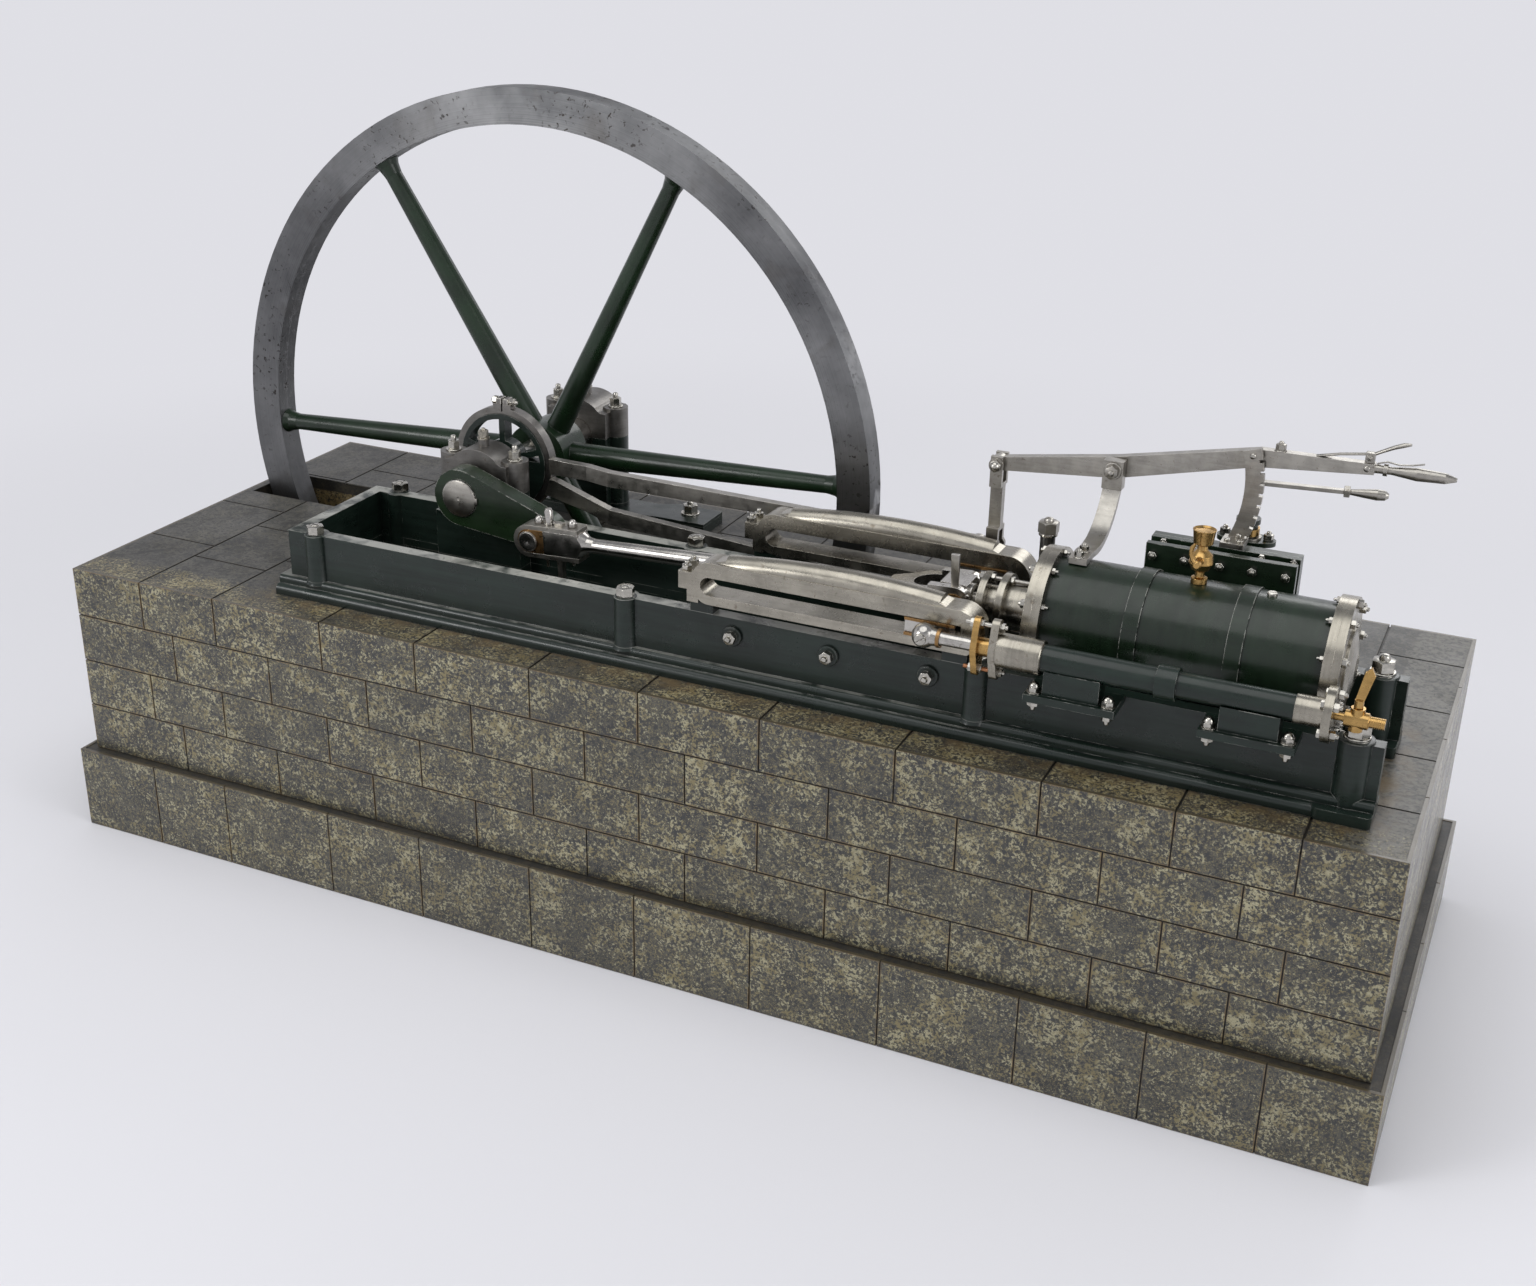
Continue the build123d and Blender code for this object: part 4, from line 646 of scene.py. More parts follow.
def addTube(bm, points, radii, sides=12, finish=0, flat=1.0):  # a bar swept through points, flat squashes it
    spots = [Vector(p) for p in points]
    rings = []
    across = None
    for i, spot in enumerate(spots):
        way = (spots[min(i + 1, len(spots) - 1)] - spots[max(i - 1, 0)]).normalized()
        if across is None:
            across = way.cross(Vector((0, 1, 0)) if abs(way.y) < 0.9 else Vector((1, 0, 0))).normalized()
        across = (across - way * across.dot(way)).normalized()
        over = way.cross(across)
        r = radii[i] if isinstance(radii, (list, tuple)) else radii
        turns = [2 * math.pi * k / sides for k in range(sides)]
        rings.append([bm.verts.new(spot + across * r * flat * math.cos(a) + over * r * math.sin(a)) for a in turns])
    joinRings(bm, rings, finish)


def makePiece(name, bm, finishes, body, stands=(), smoothBelow=35, turn=None):
    if turn:
        bmesh.ops.transform(bm, matrix=turn, verts=bm.verts)
    bmesh.ops.scale(bm, vec=(mm, mm, mm), verts=bm.verts)
    bmesh.ops.recalc_face_normals(bm, faces=bm.faces)
    mesh = bpy.data.meshes.new(name)
    bm.to_mesh(mesh)
    bm.free()
    for finish in finishes:
        mesh.materials.append(finish)
    piece = bpy.data.objects.new(name, mesh)
    bpy.context.scene.collection.objects.link(piece)
    if smoothBelow:
        mesh.shade_smooth()
        mesh.set_sharp_from_angle(angle=math.radians(smoothBelow))
    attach(piece, body)
    if stands:
        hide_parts(*stands)
    return piece


def boxMm(name):
    low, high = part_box(name)
    return [v / mm for v in low], [v / mm for v in high]


masonry = {
    "courses": 4,
    "baseHeight": 80.0,
    "straightJoints": (-512, -430, -315, -218, -106, -5, 102, 215, 329, 428, 517),
    "shiftedJoints": (-480, -374, -270, -164, -55, 37, 162, 267, 379, 482),
    "endStraight": (-107, -3, 101),
    "endShifted": (-160, -55, 49, 153),
    "topShifted": (-135, -45, 45, 143),
    "sawCut": 1.2,
    "slabCut": 1.9,
    "cutDepth": 1.3,
    "faceBoard": 3.0,
}


def splitRow(start, end, joints, cut):
    inside = [j for j in joints if start + 12 < j < end - 12]
    edges = [start] + inside + [end]
    half = cut / 2
    return [(a + (half if a in inside else 0), b - (half if b in inside else 0)) for a, b in zip(edges, edges[1:])]


def cutOut(rects, hole):
    kept = []
    hx0, hy0, hx1, hy1 = hole
    for x0, y0, x1, y1 in rects:
        if x1 <= hx0 or x0 >= hx1 or y1 <= hy0 or y0 >= hy1:
            kept.append((x0, y0, x1, y1))
            continue
        parts = [(x0, y0, hx0, y1), (hx1, y0, x1, y1), (max(x0, hx0), y0, min(x1, hx1), hy0),
                 (max(x0, hx0), hy1, min(x1, hx1), y1)]
        kept += [p for p in parts if p[2] - p[0] > 0.1 and p[3] - p[1] > 0.1]
    return kept


def buildPlinth(values):
    frontBox, topBox = boxMm("plinth_front"), boxMm("plinth_top_front")
    rearTop, endTop, pitBoard = boxMm("plinth_top_rear"), boxMm("plinth_top_end"), boxMm("pit_front")
    wallX, top, under = topBox[1][0], topBox[1][2], topBox[0][2]
    wallY = rearTop[1][1]
    baseX, baseY = frontBox[1][0], -frontBox[0][1]
    baseH, board, deep, cut = values["baseHeight"], values["faceBoard"], values["cutDepth"], values["sawCut"]
    courseH = (top - baseH) / values["courses"]
    gap = cut / 2
    bm = bmesh.new()
    for row in range(values["courses"] + 1):
        low = 0 if row == 0 else baseH + (row - 1) * courseH
        high = baseH if row == 0 else low + courseH
        z0 = low + (gap if row > 1 else 0)
        z1 = high - (gap if 0 < row < values["courses"] else 0)
        straight = row in (0, 2, 4)
        for side in (-1, 1):
            joints = values["straightJoints"] if straight else values["shiftedJoints"]
            reach, out = (baseX, baseY) if row == 0 else (wallX, wallY)
            ys = sorted((side * out, side * (out - board)))
            for a, b in splitRow(-reach, reach, joints, cut):
                addBlock(bm, (a, ys[0], z0), (b, ys[1], z1))
            joints = values["endStraight"] if straight else values["endShifted"]
            reach, out = (baseY - board, baseX) if row == 0 else (wallY - board, wallX)
            xs = sorted((side * out, side * (out - board)))
            for a, b in splitRow(-reach, reach, joints, cut):
                addBlock(bm, (xs[0], a, z0), (xs[1], b, z1))
    ledge = baseH - 0.6
    for side in (-1, 1):  # the wood behind the joints
        ys = sorted((side * (baseY - deep), side * (wallY - 12)))
        addBlock(bm, (-baseX + deep, ys[0], 0), (baseX - deep, ys[1], ledge), 1)
        ys = sorted((side * (wallY - deep), side * (wallY - 12)))
        addBlock(bm, (-wallX + deep, ys[0], ledge), (wallX - deep, ys[1], under), 1)
        inner = 12 if side > 0 else wallX - abs(pitBoard[0][0])
        xs = sorted((side * (baseX - deep), side * (wallX - inner)))
        addBlock(bm, (xs[0], -wallY + 12, 0), (xs[1], wallY - 12, ledge), 1)
        xs = sorted((side * (wallX - deep), side * (wallX - inner)))
        addBlock(bm, (xs[0], -wallY + 12, ledge), (xs[1], wallY - 12, under), 1)
    makePiece("plinthBlocks", bm, [stoneWall, jointBrown], "engine_frame",
              ("plinth_front", "plinth_rear", "plinth_left", "plinth_right"), 0)
    pit = (pitBoard[0][0], topBox[1][1], endTop[0][0], rearTop[0][1])
    crankHole = [o["box_m"] for o in frame["record"]["physics"]["openings"] if o["name"] == "crank_pit"][0]
    crank = (crankHole[0][0] / mm - 1, crankHole[0][1] / mm - 1, crankHole[1][0] / mm + 1, crankHole[1][1] / mm + 1)
    inX, inY = wallX - board, wallY - board
    bm = bmesh.new()
    half = values["slabCut"] / 2
    columns = [-wallX] + list(values["straightJoints"]) + [wallX]
    for i, (a, b) in enumerate(zip(columns, columns[1:])):
        joints = values["endStraight"] if i % 2 == 0 else values["topShifted"]
        x0 = -inX if i == 0 else a + half
        x1 = inX if i == len(columns) - 2 else b - half
        for y0, y1 in splitRow(-inY, inY, joints, values["slabCut"]):
            for r in cutOut(cutOut([(x0, y0, x1, y1)], pit), crank):
                addBlock(bm, (r[0], r[1], top - deep - 0.4), (r[2], r[3], top))
    for r in cutOut(cutOut([(-inX, -inY, inX, inY)], pit), crank):
        addBlock(bm, (r[0], r[1], under), (r[2], r[3], top - deep), 1)
    makePiece("plinthSlabs", bm, [stoneTop, jointBrown], "engine_frame",
              ("plinth_top_front", "plinth_top_rear", "plinth_top_end"), 0)


buildPlinth(masonry)
say("plinth blocks and slabs laid")

# Places that many pieces share, read from the frame.
shaftX, axisZ = wheelCentre[0] / mm, wheelCentre[2] / mm
barrelLow, barrelHigh = boxMm("cylinder_barrel")
cylX0, cylX1, engineY = barrelLow[0], barrelHigh[0], (barrelLow[1] + barrelHigh[1]) / 2
gudgeonLow, gudgeonHigh = boxMm("gudgeon_pin")
crossX = (gudgeonLow[0] + gudgeonHigh[0]) / 2
railTop = boxMm("bed_left_end")[1][2]
gearY = sum(boxMm("hand_lever")[i][1] for i in (0, 1)) / 2

bedBolts = {
    "columnsX": (-350.1, -42.1, 258.9),
    "railOff": 60.0,  # rail's middle from the engine's centre line
    "columnFlats": 13.5,
    "columnHeight": 8.0,
    "footX": 536.9,
    "footFlats": 16.0,
    "sideX": (55.5, 138.5, 221.0),
    "sideZ": 305.0,
    "sideFlats": 9.5,
    "sideWasher": 8.5,
    "facingOut": 4.0,  # how far the columns' rounded fronts stand before their middles
    "facingR": 9.6,
    "stay": (270.9, -36.0, 386.0),
    "stayFlats": 14.8,
    "tailX": 15.6,
    "tailOff": (67.4, 54.4),
    "tailFlats": 7.4,
}


def buildBedBolts(values):
    bm = bmesh.new()
    for side in (-1, 1):
        y = engineY + side * values["railOff"]
        for i, x in enumerate(values["columnsX"]):
            if side > 0 and i == 2:
                continue  # the tall stay stands here
            place = (x, y + side * values["facingOut"], railTop + 0.5)
            addTurned(bm, (place[0], place[1], railTop - 45), up, [(0, values["facingR"] + 2), (4, values["facingR"]),
                                                                   (45, values["facingR"]), (45.6, 9.0)], 32, 2)
            addFixing(bm, place, up, values["columnFlats"], values["columnHeight"], 1.2, spin=0.35 + 0.4 * i)
        addTurned(bm, (values["footX"], y, railTop + 0.9), up, [(0, 12.9), (0.5, 12.6), (0.7, 12.0)], 36, 2)
        addFixing(bm, (values["footX"], y, railTop + 1.5), up, values["footFlats"], 9.0, 4.5, 9.8, 0.2 + 0.3 * side)
        face = y + side * 6
        for i, x in enumerate(values["sideX"]):
            ring = [(0, values["sideWasher"]), (2.0, values["sideWasher"]), (2.6, values["sideWasher"] - 0.7)]
            addTurned(bm, (x, face, values["sideZ"]), (0, side, 0), ring, 28, 2)
            addFixing(bm, (x, face + side * 2.5, values["sideZ"]), (0, side, 0), values["sideFlats"], 5.4, 3.4,
                      spin=0.2 + 0.5 * i)
        tail = boxMm("guide_front")[1][2] - 21.8
        for i, off in enumerate(values["tailOff"]):
            addFixing(bm, (values["tailX"] - i * 0.6, engineY + side * off, tail), up, values["tailFlats"], 4.2, 3.4,
                      spin=0.5 * i)
    addFixing(bm, values["stay"], up, values["stayFlats"], 9.5, 3.2, 7.6, 0.5, 1)
    makePiece("bedBolts", bm, [nutSteel, dullSteel, bedGreen], "engine_frame")


bearingBolts = {
    "earOff": 32.0,
    "earZ": 374.0,
    "crownZ": 389.0,
    "mainY": -42.5,
    "outerY": 141.5,
    "flats": 9.5,
    "footX": (-140.0, -358.2),
    "footY": 149.5,
    "footZ": 274.0,
    "footFlats": 13.0,
}


def buildBearingBolts(values):
    bm = bmesh.new()
    for y in (values["mainY"], values["outerY"]):
        for side in (-1, 1):
            addFixing(bm, (shaftX + side * values["earOff"], y, values["earZ"]), up, values["flats"], 7.5, 5.0, 7.2,
                      0.4 + side * 0.3)
        oiler = [(-0.2, 5.6), (1.4, 5.6), (1.4, 4.4), (3.4, 4.4)]
        addTurned(bm, (shaftX, y, values["crownZ"]), up, oiler, 24, 1)
        addFixing(bm, (shaftX, y, values["crownZ"] + 3.3), up, 8.0, 4.6, 2.2, spin=0.7, finish=1)
    for x in values["footX"]:
        addFixing(bm, (x, values["footY"], values["footZ"]), up, values["footFlats"], 8.0, 4.0, 9.2, 0.1)
    makePiece("bearingBolts", bm, [nutSteel, guideSteel], "engine_frame")


coverStuds = {
    "perFlange": 10,
    "first": 9.0,  # degrees
    "circle": 48.2,
    "flats": 6.2,
    "innerFlats": 4.4,
    "flange": 12.5,  # flange and cover together
    "glandFace": 58.5,  # gland's outer disc, left of the barrel
    "glandCircle": 20.6,
    "glandFlats": 6.4,
}


def buildCoverStuds(values):
    bm = bmesh.new()
    for end, way in ((cylX0, -1), (cylX1, 1)):
        for k in range(values["perFlange"]):
            a = math.radians(values["first"] + 360 / values["perFlange"] * k)
            y, z = engineY + values["circle"] * math.cos(a), axisZ + values["circle"] * math.sin(a)
            addFixing(bm, (end + way * values["flange"], y, z), (way, 0, 0), values["flats"], 3.6, 2.2, spin=0.4 * k)
            y, z = engineY + 48.7 * math.cos(a), axisZ + 48.7 * math.sin(a)
            addFixing(bm, (end, y, z), (-way, 0, 0), values["innerFlats"], 2.8, 2.4, spin=0.7 * k)
    face = cylX0 - values["glandFace"]
    for side in (-1, 1):
        z = axisZ + side * values["glandCircle"]
        addBolt(bm, (face - 1, engineY, z), (cylX0 - values["flange"] + 1, engineY, z), 1.7, 1)
        addFixing(bm, (face, engineY, z), (-1, 0, 0), values["glandFlats"], 3.6, 1.6, spin=0.5)
        addNut(bm, (face + 5.6, engineY, z), (1, 0, 0), values["glandFlats"], 3.0, 0.2)
        addNut(bm, (face + 21.1, engineY, z), (1, 0, 0), values["glandFlats"], 3.0, 0.4)
    makePiece("coverStuds", bm, [nutSteel, dullSteel], "engine_frame")


pumpBolts = {
    "y": -180.0,
    "shelfX": (311.2, 366.6, 439.2, 494.6),
    "shelfY": -186.0,
    "shelfTop": 321.0,
    "shelfUnder": 315.0,
    "flangeX": 521.9,
    "flangeT": 6.0,
    "flangeCircle": 15.4,
    "brassOval": (261.5, 266.3, 10.6, 5.3),  # left face, right face, middle's radius, ear's radius
    "steelOval": (275.5, 281.3, 11.2, 5.8),
    "hole": 5.4,
    "boltRise": 18.0,
    "sleeve": (281.0, 314.8, 13.2),
}


def addOval(bm, place, x0, x1, core, ear, rise, hole, finish):  # a flange with two ears, one above the other
    steps = 56
    rings = [[], [], [], []]
    for k in range(steps):
        way = Vector((math.cos(2 * math.pi * k / steps), math.sin(2 * math.pi * k / steps)))
        spots = [(way * core, core), (Vector((0, rise)) + way * ear, ear), (Vector((0, -rise)) + way * ear, ear)]
        out = max((s[0] for s in spots), key=lambda s: s.dot(way))
        for ring, x, at in ((rings[0], x0, way * hole), (rings[1], x0, out), (rings[2], x1, out),
                            (rings[3], x1, way * hole)):
            ring.append(bm.verts.new((x, place[0] + at.x, place[1] + at.y)))
    joinRings(bm, rings + rings[:1], finish, False)


def buildPumpBolts(values):
    bm = bmesh.new()
    y = values["y"]
    for i, x in enumerate(values["shelfX"]):
        addRing(bm, (x, values["shelfY"], values["shelfTop"]), up, 2.0, 5.6, 0.8)
        addCapNut(bm, (x, values["shelfY"], values["shelfTop"] + 0.7), up, 8.4, 8.0, 0.5 * i)
        addFixing(bm, (x, values["shelfY"], values["shelfUnder"]), (0, 0, -1), 8.0, 4.6, 4.0, spin=0.4 * i)
    for k in range(4):
        a = math.radians(45 + 90 * k)
        spot = (y + values["flangeCircle"] * math.cos(a), axisZ + values["flangeCircle"] * math.sin(a))
        addFixing(bm, (values["flangeX"], *spot), (1, 0, 0), 6.4, 4.0, 2.4, spin=0.3 * k)
        addNut(bm, (values["flangeX"] - values["flangeT"], *spot), (-1, 0, 0), 6.0, 2.8, 0.5 * k)
    for finish, (x0, x1, core, ear) in ((2, values["brassOval"]), (3, values["steelOval"])):
        addOval(bm, (y, axisZ), x0, x1, core, ear, values["boltRise"], values["hole"], finish)
    a, b, wide = values["sleeve"]
    addTurned(bm, (a, y, axisZ), (1, 0, 0), [(0, wide - 0.5), (0.5, wide), (b - a - 0.6, wide), (b - a, wide - 0.6)],
              36, 4)
    near, far, end = values["brassOval"][0], values["brassOval"][1], values["steelOval"][1]
    for side in (-1, 1):
        z = axisZ + side * values["boltRise"]
        addBolt(bm, (near - 7, y, z), (end + 1, y, z), 1.7, 1 if side < 0 else 0)
        addNut(bm, (near - 3.3, y, z), (1, 0, 0), 6.2, 3.4, 0.2)
        addNut(bm, (far - 0.1, y, z), (1, 0, 0), 5.8, 2.6, 0.5)
        addFixing(bm, (end - 0.1, y, z), (1, 0, 0), 6.0, 3.4, 2.2, spin=0.4)
    thread = [(0, 3.6)]
    for k in range(7):
        thread += [(k * 1.3 + 0.3, 3.7), (k * 1.3 + 0.65, 4.3), (k * 1.3 + 1.0, 3.7)]
    x = boxMm("drain_cock")[1][0]
    addTurned(bm, (x - 9.6, y, axisZ), (1, 0, 0), thread, 18, 2)
    addNut(bm, (x - 14.4, y, axisZ), (1, 0, 0), 9.6, 4.2, 0.2, 2)
    makePiece("pumpBolts", bm, [nutSteel, copper, oldBrass, flangeSteel, flangeSteel], "engine_frame")


chestBolts = {
    "frontY": -48.2,
    "frontX": (357.7, 382.6, 409.4, 433.9, 458.7),
    "frontZ": 389.0,
    "edge": (460.4, 372.0),
    "rearY": -32.2,
    "rearX": (361.9, 386.5, 436.9, 461.1),
    "rearZ": 395.1,
    "coverY": -19.2,
    "coverX": (357.7, 387.0, 444.0, 460.5),
    "coverZ": (327.5, 359.0, 390.5),
    "flats": 6.6,
    "screw": (457.7, 392.0),
    "valve": (415.7, 16.0, 392.0),
    "valveBolt": 17.0,
    "bracket": (313.9, 397.3),
    "bracketY": (-101.0, -87.0),
    "pivot": (313.9, 441.0),
    "pivotFront": -20.5,
    "pivotRear": -1.5,
    "sector": ((418.2, 467.9), (414.8, 402.9)),
    "sectorY": -16.0,
    "tab": ((408.5, -25.5, 402.0), (418.0, -25.5, 402.0)),
}


def buildChestBolts(values):
    bm = bmesh.new()
    flats = values["flats"]
    for i, x in enumerate(values["frontX"]):
        addFixing(bm, (x, values["frontY"], values["frontZ"]), (0, -1, 0), flats, 4.0, 1.4, spin=0.6 * i)
    addFixing(bm, (values["edge"][0], values["frontY"], values["edge"][1]), (0, -1, 0), flats, 4.0, 1.4)
    for i, x in enumerate(values["rearX"]):
        addFixing(bm, (x, values["rearY"], values["rearZ"]), (0, -1, 0), 5.2, 3.2, 1.4, spin=0.5 * i)
    for z in values["coverZ"]:
        for x in values["coverX"]:
            addFixing(bm, (x, values["coverY"], z), (0, 1, 0), flats, 4.0, 2.4, spin=x * 0.1 + z)
    addScrewHead(bm, (values["screw"][0], engineY, values["screw"][1] - 0.4), up, 3.8, 2.6, 0.9, 0.3)
    vx, vy, vz = values["valve"]
    for side in (-1, 1):
        addFixing(bm, (vx + side * values["valveBolt"], vy, vz), up, 7.0, 5.0, 2.6, spin=0.3 + side)
    addRing(bm, (vx, vy, vz + 3.0), up, 8.1, 9.6, 5.4, 1)
    addRing(bm, (vx, vy, vz), up, 8.1, 11.4, 1.6, 2)
    for y in values["bracketY"]:
        addFixing(bm, (values["bracket"][0], y, values["bracket"][1]), up, 6.2, 3.8, 2.0, 4.4, 0.2)
    px, pz = values["pivot"]
    addFixing(bm, (px, values["pivotFront"], pz), (0, -1, 0), 9.6, 4.6, 2.6, 7.0, 0.5, 2, 2)
    addFixing(bm, (px, values["pivotRear"], pz), (0, 1, 0), 9.6, 4.8, 2.4, 0, 0.2, 2)
    for x, z in values["sector"]:
        addStud(bm, (x, values["sectorY"], z), (0, -1, 0), 2.3, 1.6)
    for place in values["tab"]:
        addScrewHead(bm, place, up, 2.6, 1.8, 0.7, 0.9)
    makePiece("chestAndGearBolts", bm, [nutSteel, oldBrass, dullSteel], "engine_frame")


lubricatorTap = {
    "x": 403.9,
    "z": 411.0,
    "reach": 13.0,
}


def buildLubricatorTap(values):
    bm = bmesh.new()
    x, z = values["x"], values["z"]
    addTurned(bm, (x, engineY - 8, z), (0, -1, 0), [(-2, 3.6), (1.2, 3.6), (1.2, 2.4), (5.5, 2.4), (6.5, 3.4),
                                                   (8.5, 3.4), (9.4, 2.2), (9.4, 0)], 18)
    points = [(x, engineY - 15.6, z), (x - 3, engineY - 16.2, z + 3), (x - 5, engineY - 16.6, z + 8),
              (x - 4.4, engineY - 16.6, z + values["reach"]), (x - 2.5, engineY - 16.6, z + values["reach"] + 3.4)]
    addTube(bm, points, [1.3, 1.6, 1.5, 1.8, 1.0], 10)
    funnel = [(0, 3.7), (0.5, 7.2), (4, 7.6), (9.8, 8.3), (11.2, 8.6), (11.4, 8.0), (10.1, 6.9), (9.8, 0)]
    addTurned(bm, (x, engineY, 422.4), up, funnel, 36)
    makePiece("lubricatorTap", bm, [oldBrass], "engine_frame")


for build, values in ((buildBedBolts, bedBolts), (buildBearingBolts, bearingBolts), (buildCoverStuds, coverStuds),
                      (buildPumpBolts, pumpBolts), (buildChestBolts, chestBolts),
                      (buildLubricatorTap, lubricatorTap)):
    build(values)
say("bolts and fittings on the engine's frame")

crankTrim = {
    "shaftEnd": -86.0,
    "shaftR": 16.4,
    "keyX": (15.0, 18.6),  # from the shaft's centre
    "hubFace": 44.5,
    "hubKey": (16.6, 23.5),
    "rearFace": 85.5,
}


def buildCrankTrim(values):
    bm = bmesh.new()
    face = values["shaftEnd"]
    end = [(-0.2, values["shaftR"]), (0.3, values["shaftR"]), (0.6, values["shaftR"] - 0.5), (0.6, 1.6), (-0.1, 1.0),
           (-0.1, 0)]
    addTurned(bm, (shaftX, face, axisZ), (0, -1, 0), end, 40)
    a, b = values["keyX"]
    addBlock(bm, (shaftX + a, face - 0.2, axisZ - 2.6), (shaftX + b, face + 2, axisZ + 2.6), 0, 0.3)
    a, b = values["hubKey"]
    addBlock(bm, (shaftX - 3, values["hubFace"] - 4, axisZ + a), (shaftX + 3, values["hubFace"] + 3, axisZ + b), 0, 0.4)
    rear = values["rearFace"]
    addBlock(bm, (shaftX - 3, rear - 3, axisZ + a), (shaftX + 3, rear + 3, axisZ + b), 0, 0.4)
    makePiece("crankTrim", bm, [dullSteel], "crankshaft")


strapBolts = {
    "centreZ": 359.0,
    "boltOff": 54.6,
    "y": -6.0,
    "half": 14.2,
    "flats": 7.2,
}


def buildStrapBolts(values):
    bm = bmesh.new()
    for side in (-1, 1):
        z = values["centreZ"] + side * values["boltOff"]
        low, high = sorted((values["centreZ"] + side * 49.0, values["centreZ"] + side * 58.4))
        for part in (-1, 1):
            xs = sorted((shaftX + part * 0.6, shaftX + part * 6.4))
            addBlock(bm, (xs[0], values["y"] - 4.6, low), (xs[1], values["y"] + 4.6, high), 1, 1.2)
        y = values["y"]
        addBolt(bm, (shaftX - 7.0, y, z), (shaftX + 7.0, y, z), 2.6)
        addFixing(bm, (shaftX + 6.3, y, z), (1, 0, 0), values["flats"], 4.6, 3.0, spin=0.2)
        addFixing(bm, (shaftX - 6.3, y, z), (-1, 0, 0), values["flats"], 4.6, 2.4, spin=0.5)
    makePiece("eccentricBolts", bm, [nutSteel, castSteel], "eccentric_rod")


rodTrim = {
    "bigEnd": 390.0,  # from the gudgeon pin
    "strapHalf": 14.5,
    "studX": 17.0,
    "capX": (7.0, 40.0),
    "wedgeX": (219.5, 226.0),
    "wedgeY": 16.2,
    "wedgeTop": 387.0,
    "wedgeFoot": 321.0,
    "forkFace": 20.5,
}


def buildRodTrim(values):
    centre = Matrix.Translation((crossX, 0, axisZ))
    turn = centre @ Matrix.Rotation(-pinTilt, 4, "Y") @ centre.inverted()
    bm = bmesh.new()
    big = crossX - values["bigEnd"]
    top = axisZ + values["strapHalf"]
    oiler = [(-0.3, 4.6), (1.5, 4.6), (1.5, 3.8), (12.0, 3.8), (13.2, 3.0), (14.0, 3.0), (14.2, 0)]
    addTurned(bm, (big + values["studX"], engineY, top), up, oiler, 22)
    for x in values["capX"]:
        addCapNut(bm, (big + x, engineY, top), up, 7.4, 7.0, 0.4)
    addFixing(bm, (big + 13, engineY, axisZ - values["strapHalf"]), (0, 0, -1), 5.6, 3.4, 7.5)
    addFixing(bm, (big + 39, engineY, axisZ - values["strapHalf"]), (0, 0, -1), 5.6, 3.4, 3.0)
    addTurned(bm, (big, engineY - 10.5, axisZ), (0, -1, 0), [(-0.2, 8.2), (0.4, 8.0), (0.4, 2.2), (0.0, 0.8), (0.0, 0)], 32)
    y = engineY - values["wedgeY"]
    a, b = values["wedgeX"]
    addPlate(bm, [(a, values["wedgeFoot"]), (b - 1.6, values["wedgeFoot"]), (b, values["wedgeTop"]),
                  (a, values["wedgeTop"])], y - 1.6, y + 1.6, 2, 0.3)
    for side in (-1, 1):
        face = engineY + side * values["forkFace"]
        addRing(bm, (crossX, face, axisZ), (0, side, 0), 6.15, 9.8, 0.8, 1)
        for dx in (-17.5, 11.5):
            addStud(bm, (crossX + dx, face, axisZ - 9), (0, side, 0), 1.7, 1.2)
            addStud(bm, (crossX + dx, face, axisZ + 9), (0, side, 0), 1.7, 1.2)
    makePiece("rodTrim", bm, [brightSteel, bronze, dullSteel], "connecting_rod", turn=turn)


crossTrim = {
    "pumpY": -180.0,
    "ball": 9.5,
}


def buildCrossTrim(values):
    bm = bmesh.new()
    y = values["pumpY"] - values["ball"]
    addScrewHead(bm, (crossX, y + 1.3, axisZ), (0, -1, 0), 4.6, 2.4, 1.0, 0.6)
    addRing(bm, (crossX + 11, values["pumpY"], axisZ), (1, 0, 0), 5.6, 7.4, 2.6, 1)
    for side in (-1, 1):
        face = engineY + side * (61.5 + 11.5 + 0.6)
        if side > 0:
            addCapNut(bm, (crossX, face, axisZ), (0, 1, 0), 9.0, 6.5)
        addRing(bm, (crossX, engineY + side * 22.4, axisZ), (0, side, 0), 4.15, 6.6, 1.6)
    makePiece("crossheadTrim", bm, [nutSteel, bronze], "crosshead")


leverTrim = {
    "front": -10.0,
    "knob": (436.4, 472.3),
    "rod": ((463.0, 472.4), (480.0, 476.4), (500.0, 479.4)),
    "block": ((498.0, 472.6), (505.0, 481.0)),
    "trigger": ((502.0, 478.6), (509.0, 482.6), (517.0, 486.8), (524.0, 489.6), (529.0, 490.7)),
    "spring": ((507.0, 473.0), (514.0, 475.4), (523.0, 474.2), (532.0, 475.4), (540.0, 477.4)),
    "rivet": (500.5, 469.0),
}


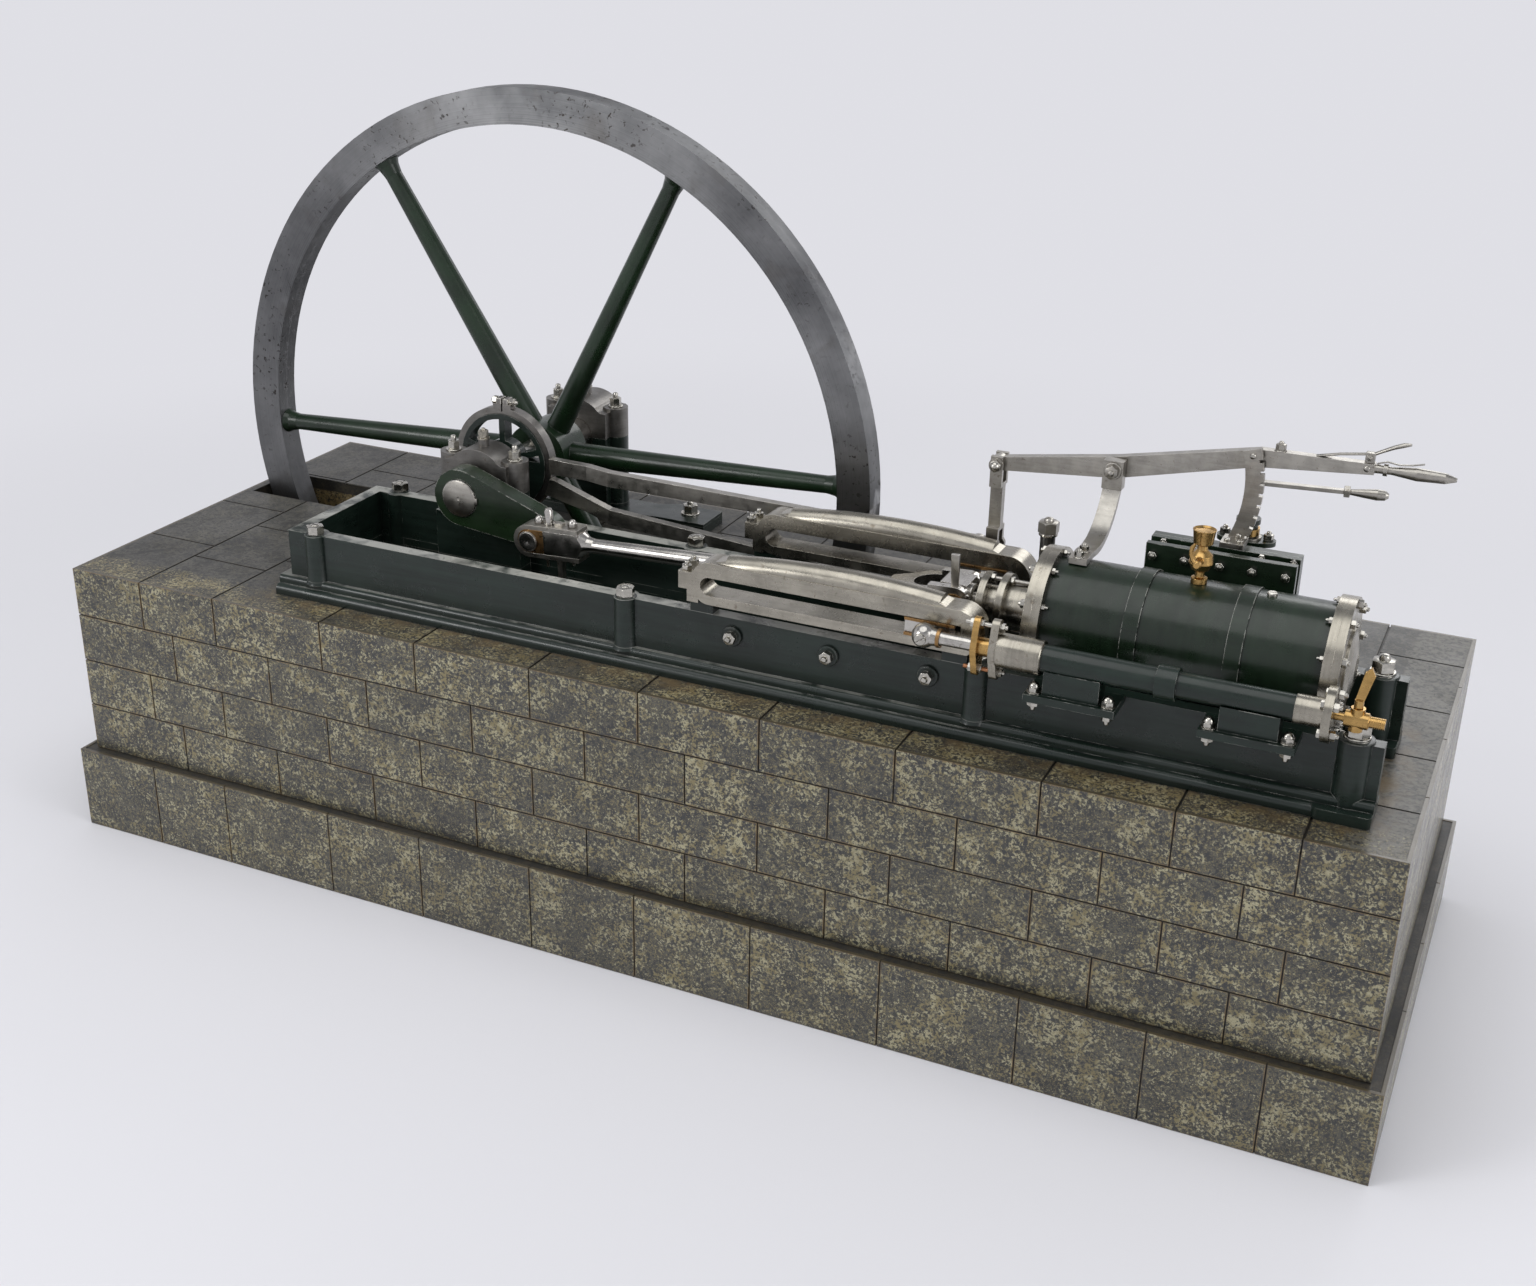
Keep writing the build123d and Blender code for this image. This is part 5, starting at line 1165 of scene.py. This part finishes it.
def buildLeverTrim(values):
    bm = bmesh.new()
    y = gearY
    kx, kz = values["knob"]
    addFixing(bm, (kx, y, kz - 0.3), up, 7.0, 4.4, 2.4, 4.6, 0.3)
    addTube(bm, [(x, y, z) for x, z in values["rod"]], 1.9, 10, 0, 0.55)
    (x0, z0), (x1, z1) = values["block"]
    addBlock(bm, (x0, y - 3, z0), (x1, y + 3, z1), 0, 0.6)
    addFixing(bm, ((x0 + x1) / 2, y - 3, z1 - 3.4), (0, -1, 0), 4.4, 1.6, 1.0)
    addTube(bm, [(x, y, z) for x, z in values["trigger"]], [1.6, 1.7, 2.0, 2.3, 1.2], 12, 0, 0.8)
    addTube(bm, [(x, y, z) for x, z in values["spring"]], 1.8, 10, 0, 0.3)
    rx, rz = values["rivet"]
    addStud(bm, (rx, values["front"], rz), (0, -1, 0), 2.4, 1.4)
    addRing(bm, (512.0, y, 469.0), (1, 0, 0), 3.0, 4.6, 3.0)
    makePiece("leverLatch", bm, [dullSteel], "hand_lever")


linkTrim = {
    "pin": (217.9, 429.0),
    "ends": (-16.2, 4.2),
    "clamp": (214.6, 350.5),
    "clampFaces": (-14.5, 2.5),
}


def buildLinkTrim(values):
    bm = bmesh.new()
    x, z = values["pin"]
    for y, way in zip(values["ends"], (-1, 1)):
        addRing(bm, (x, y - way * 1.6, z), (0, way, 0), 3.05, 6.2, 1.2, 1)
        addCapNut(bm, (x, y - way * 0.6, z), (0, way, 0), 9.0, 7.0, 0.4)
    x, z = values["clamp"]
    for y, way in zip(values["clampFaces"], (-1, 1)):
        addFixing(bm, (x, y, z), (0, way, 0), 7.0, 3.8, 2.0, 4.6, 0.3, 0, 1)
    makePiece("linkNuts", bm, [nutSteel, dullSteel], "lifting_link")


valveLeverTrim = {
    "centre": (415.7, 16.0),
    "armZ": 437.5,
    "lean": 8.0,  # degrees
    "collar": 67.5,
}


def buildValveLeverTrim(values):
    bm = bmesh.new()
    a = math.radians(values["lean"])
    way = Vector((math.cos(a), math.sin(a), 0))
    spot = Vector((*values["centre"], values["armZ"]))
    addNut(bm, spot + way * values["collar"], way, 8.6, 4.6, 0.26)
    addCapNut(bm, (*values["centre"], values["armZ"] + 3.4), up, 8.6, 7.4)
    makePiece("valveLeverNuts", bm, [dullSteel], "stop_valve_lever")


pinLow, pinHigh = boxMm("crank_pin_head")
pinTilt = math.asin((axisZ - (pinLow[2] + pinHigh[2]) / 2) / rodTrim["bigEnd"])
for build, values in ((buildCrankTrim, crankTrim), (buildStrapBolts, strapBolts), (buildRodTrim, rodTrim),
                      (buildCrossTrim, crossTrim), (buildLeverTrim, leverTrim), (buildLinkTrim, linkTrim),
                      (buildValveLeverTrim, valveLeverTrim)):
    build(values)
say("bolts and trim on the moving parts")
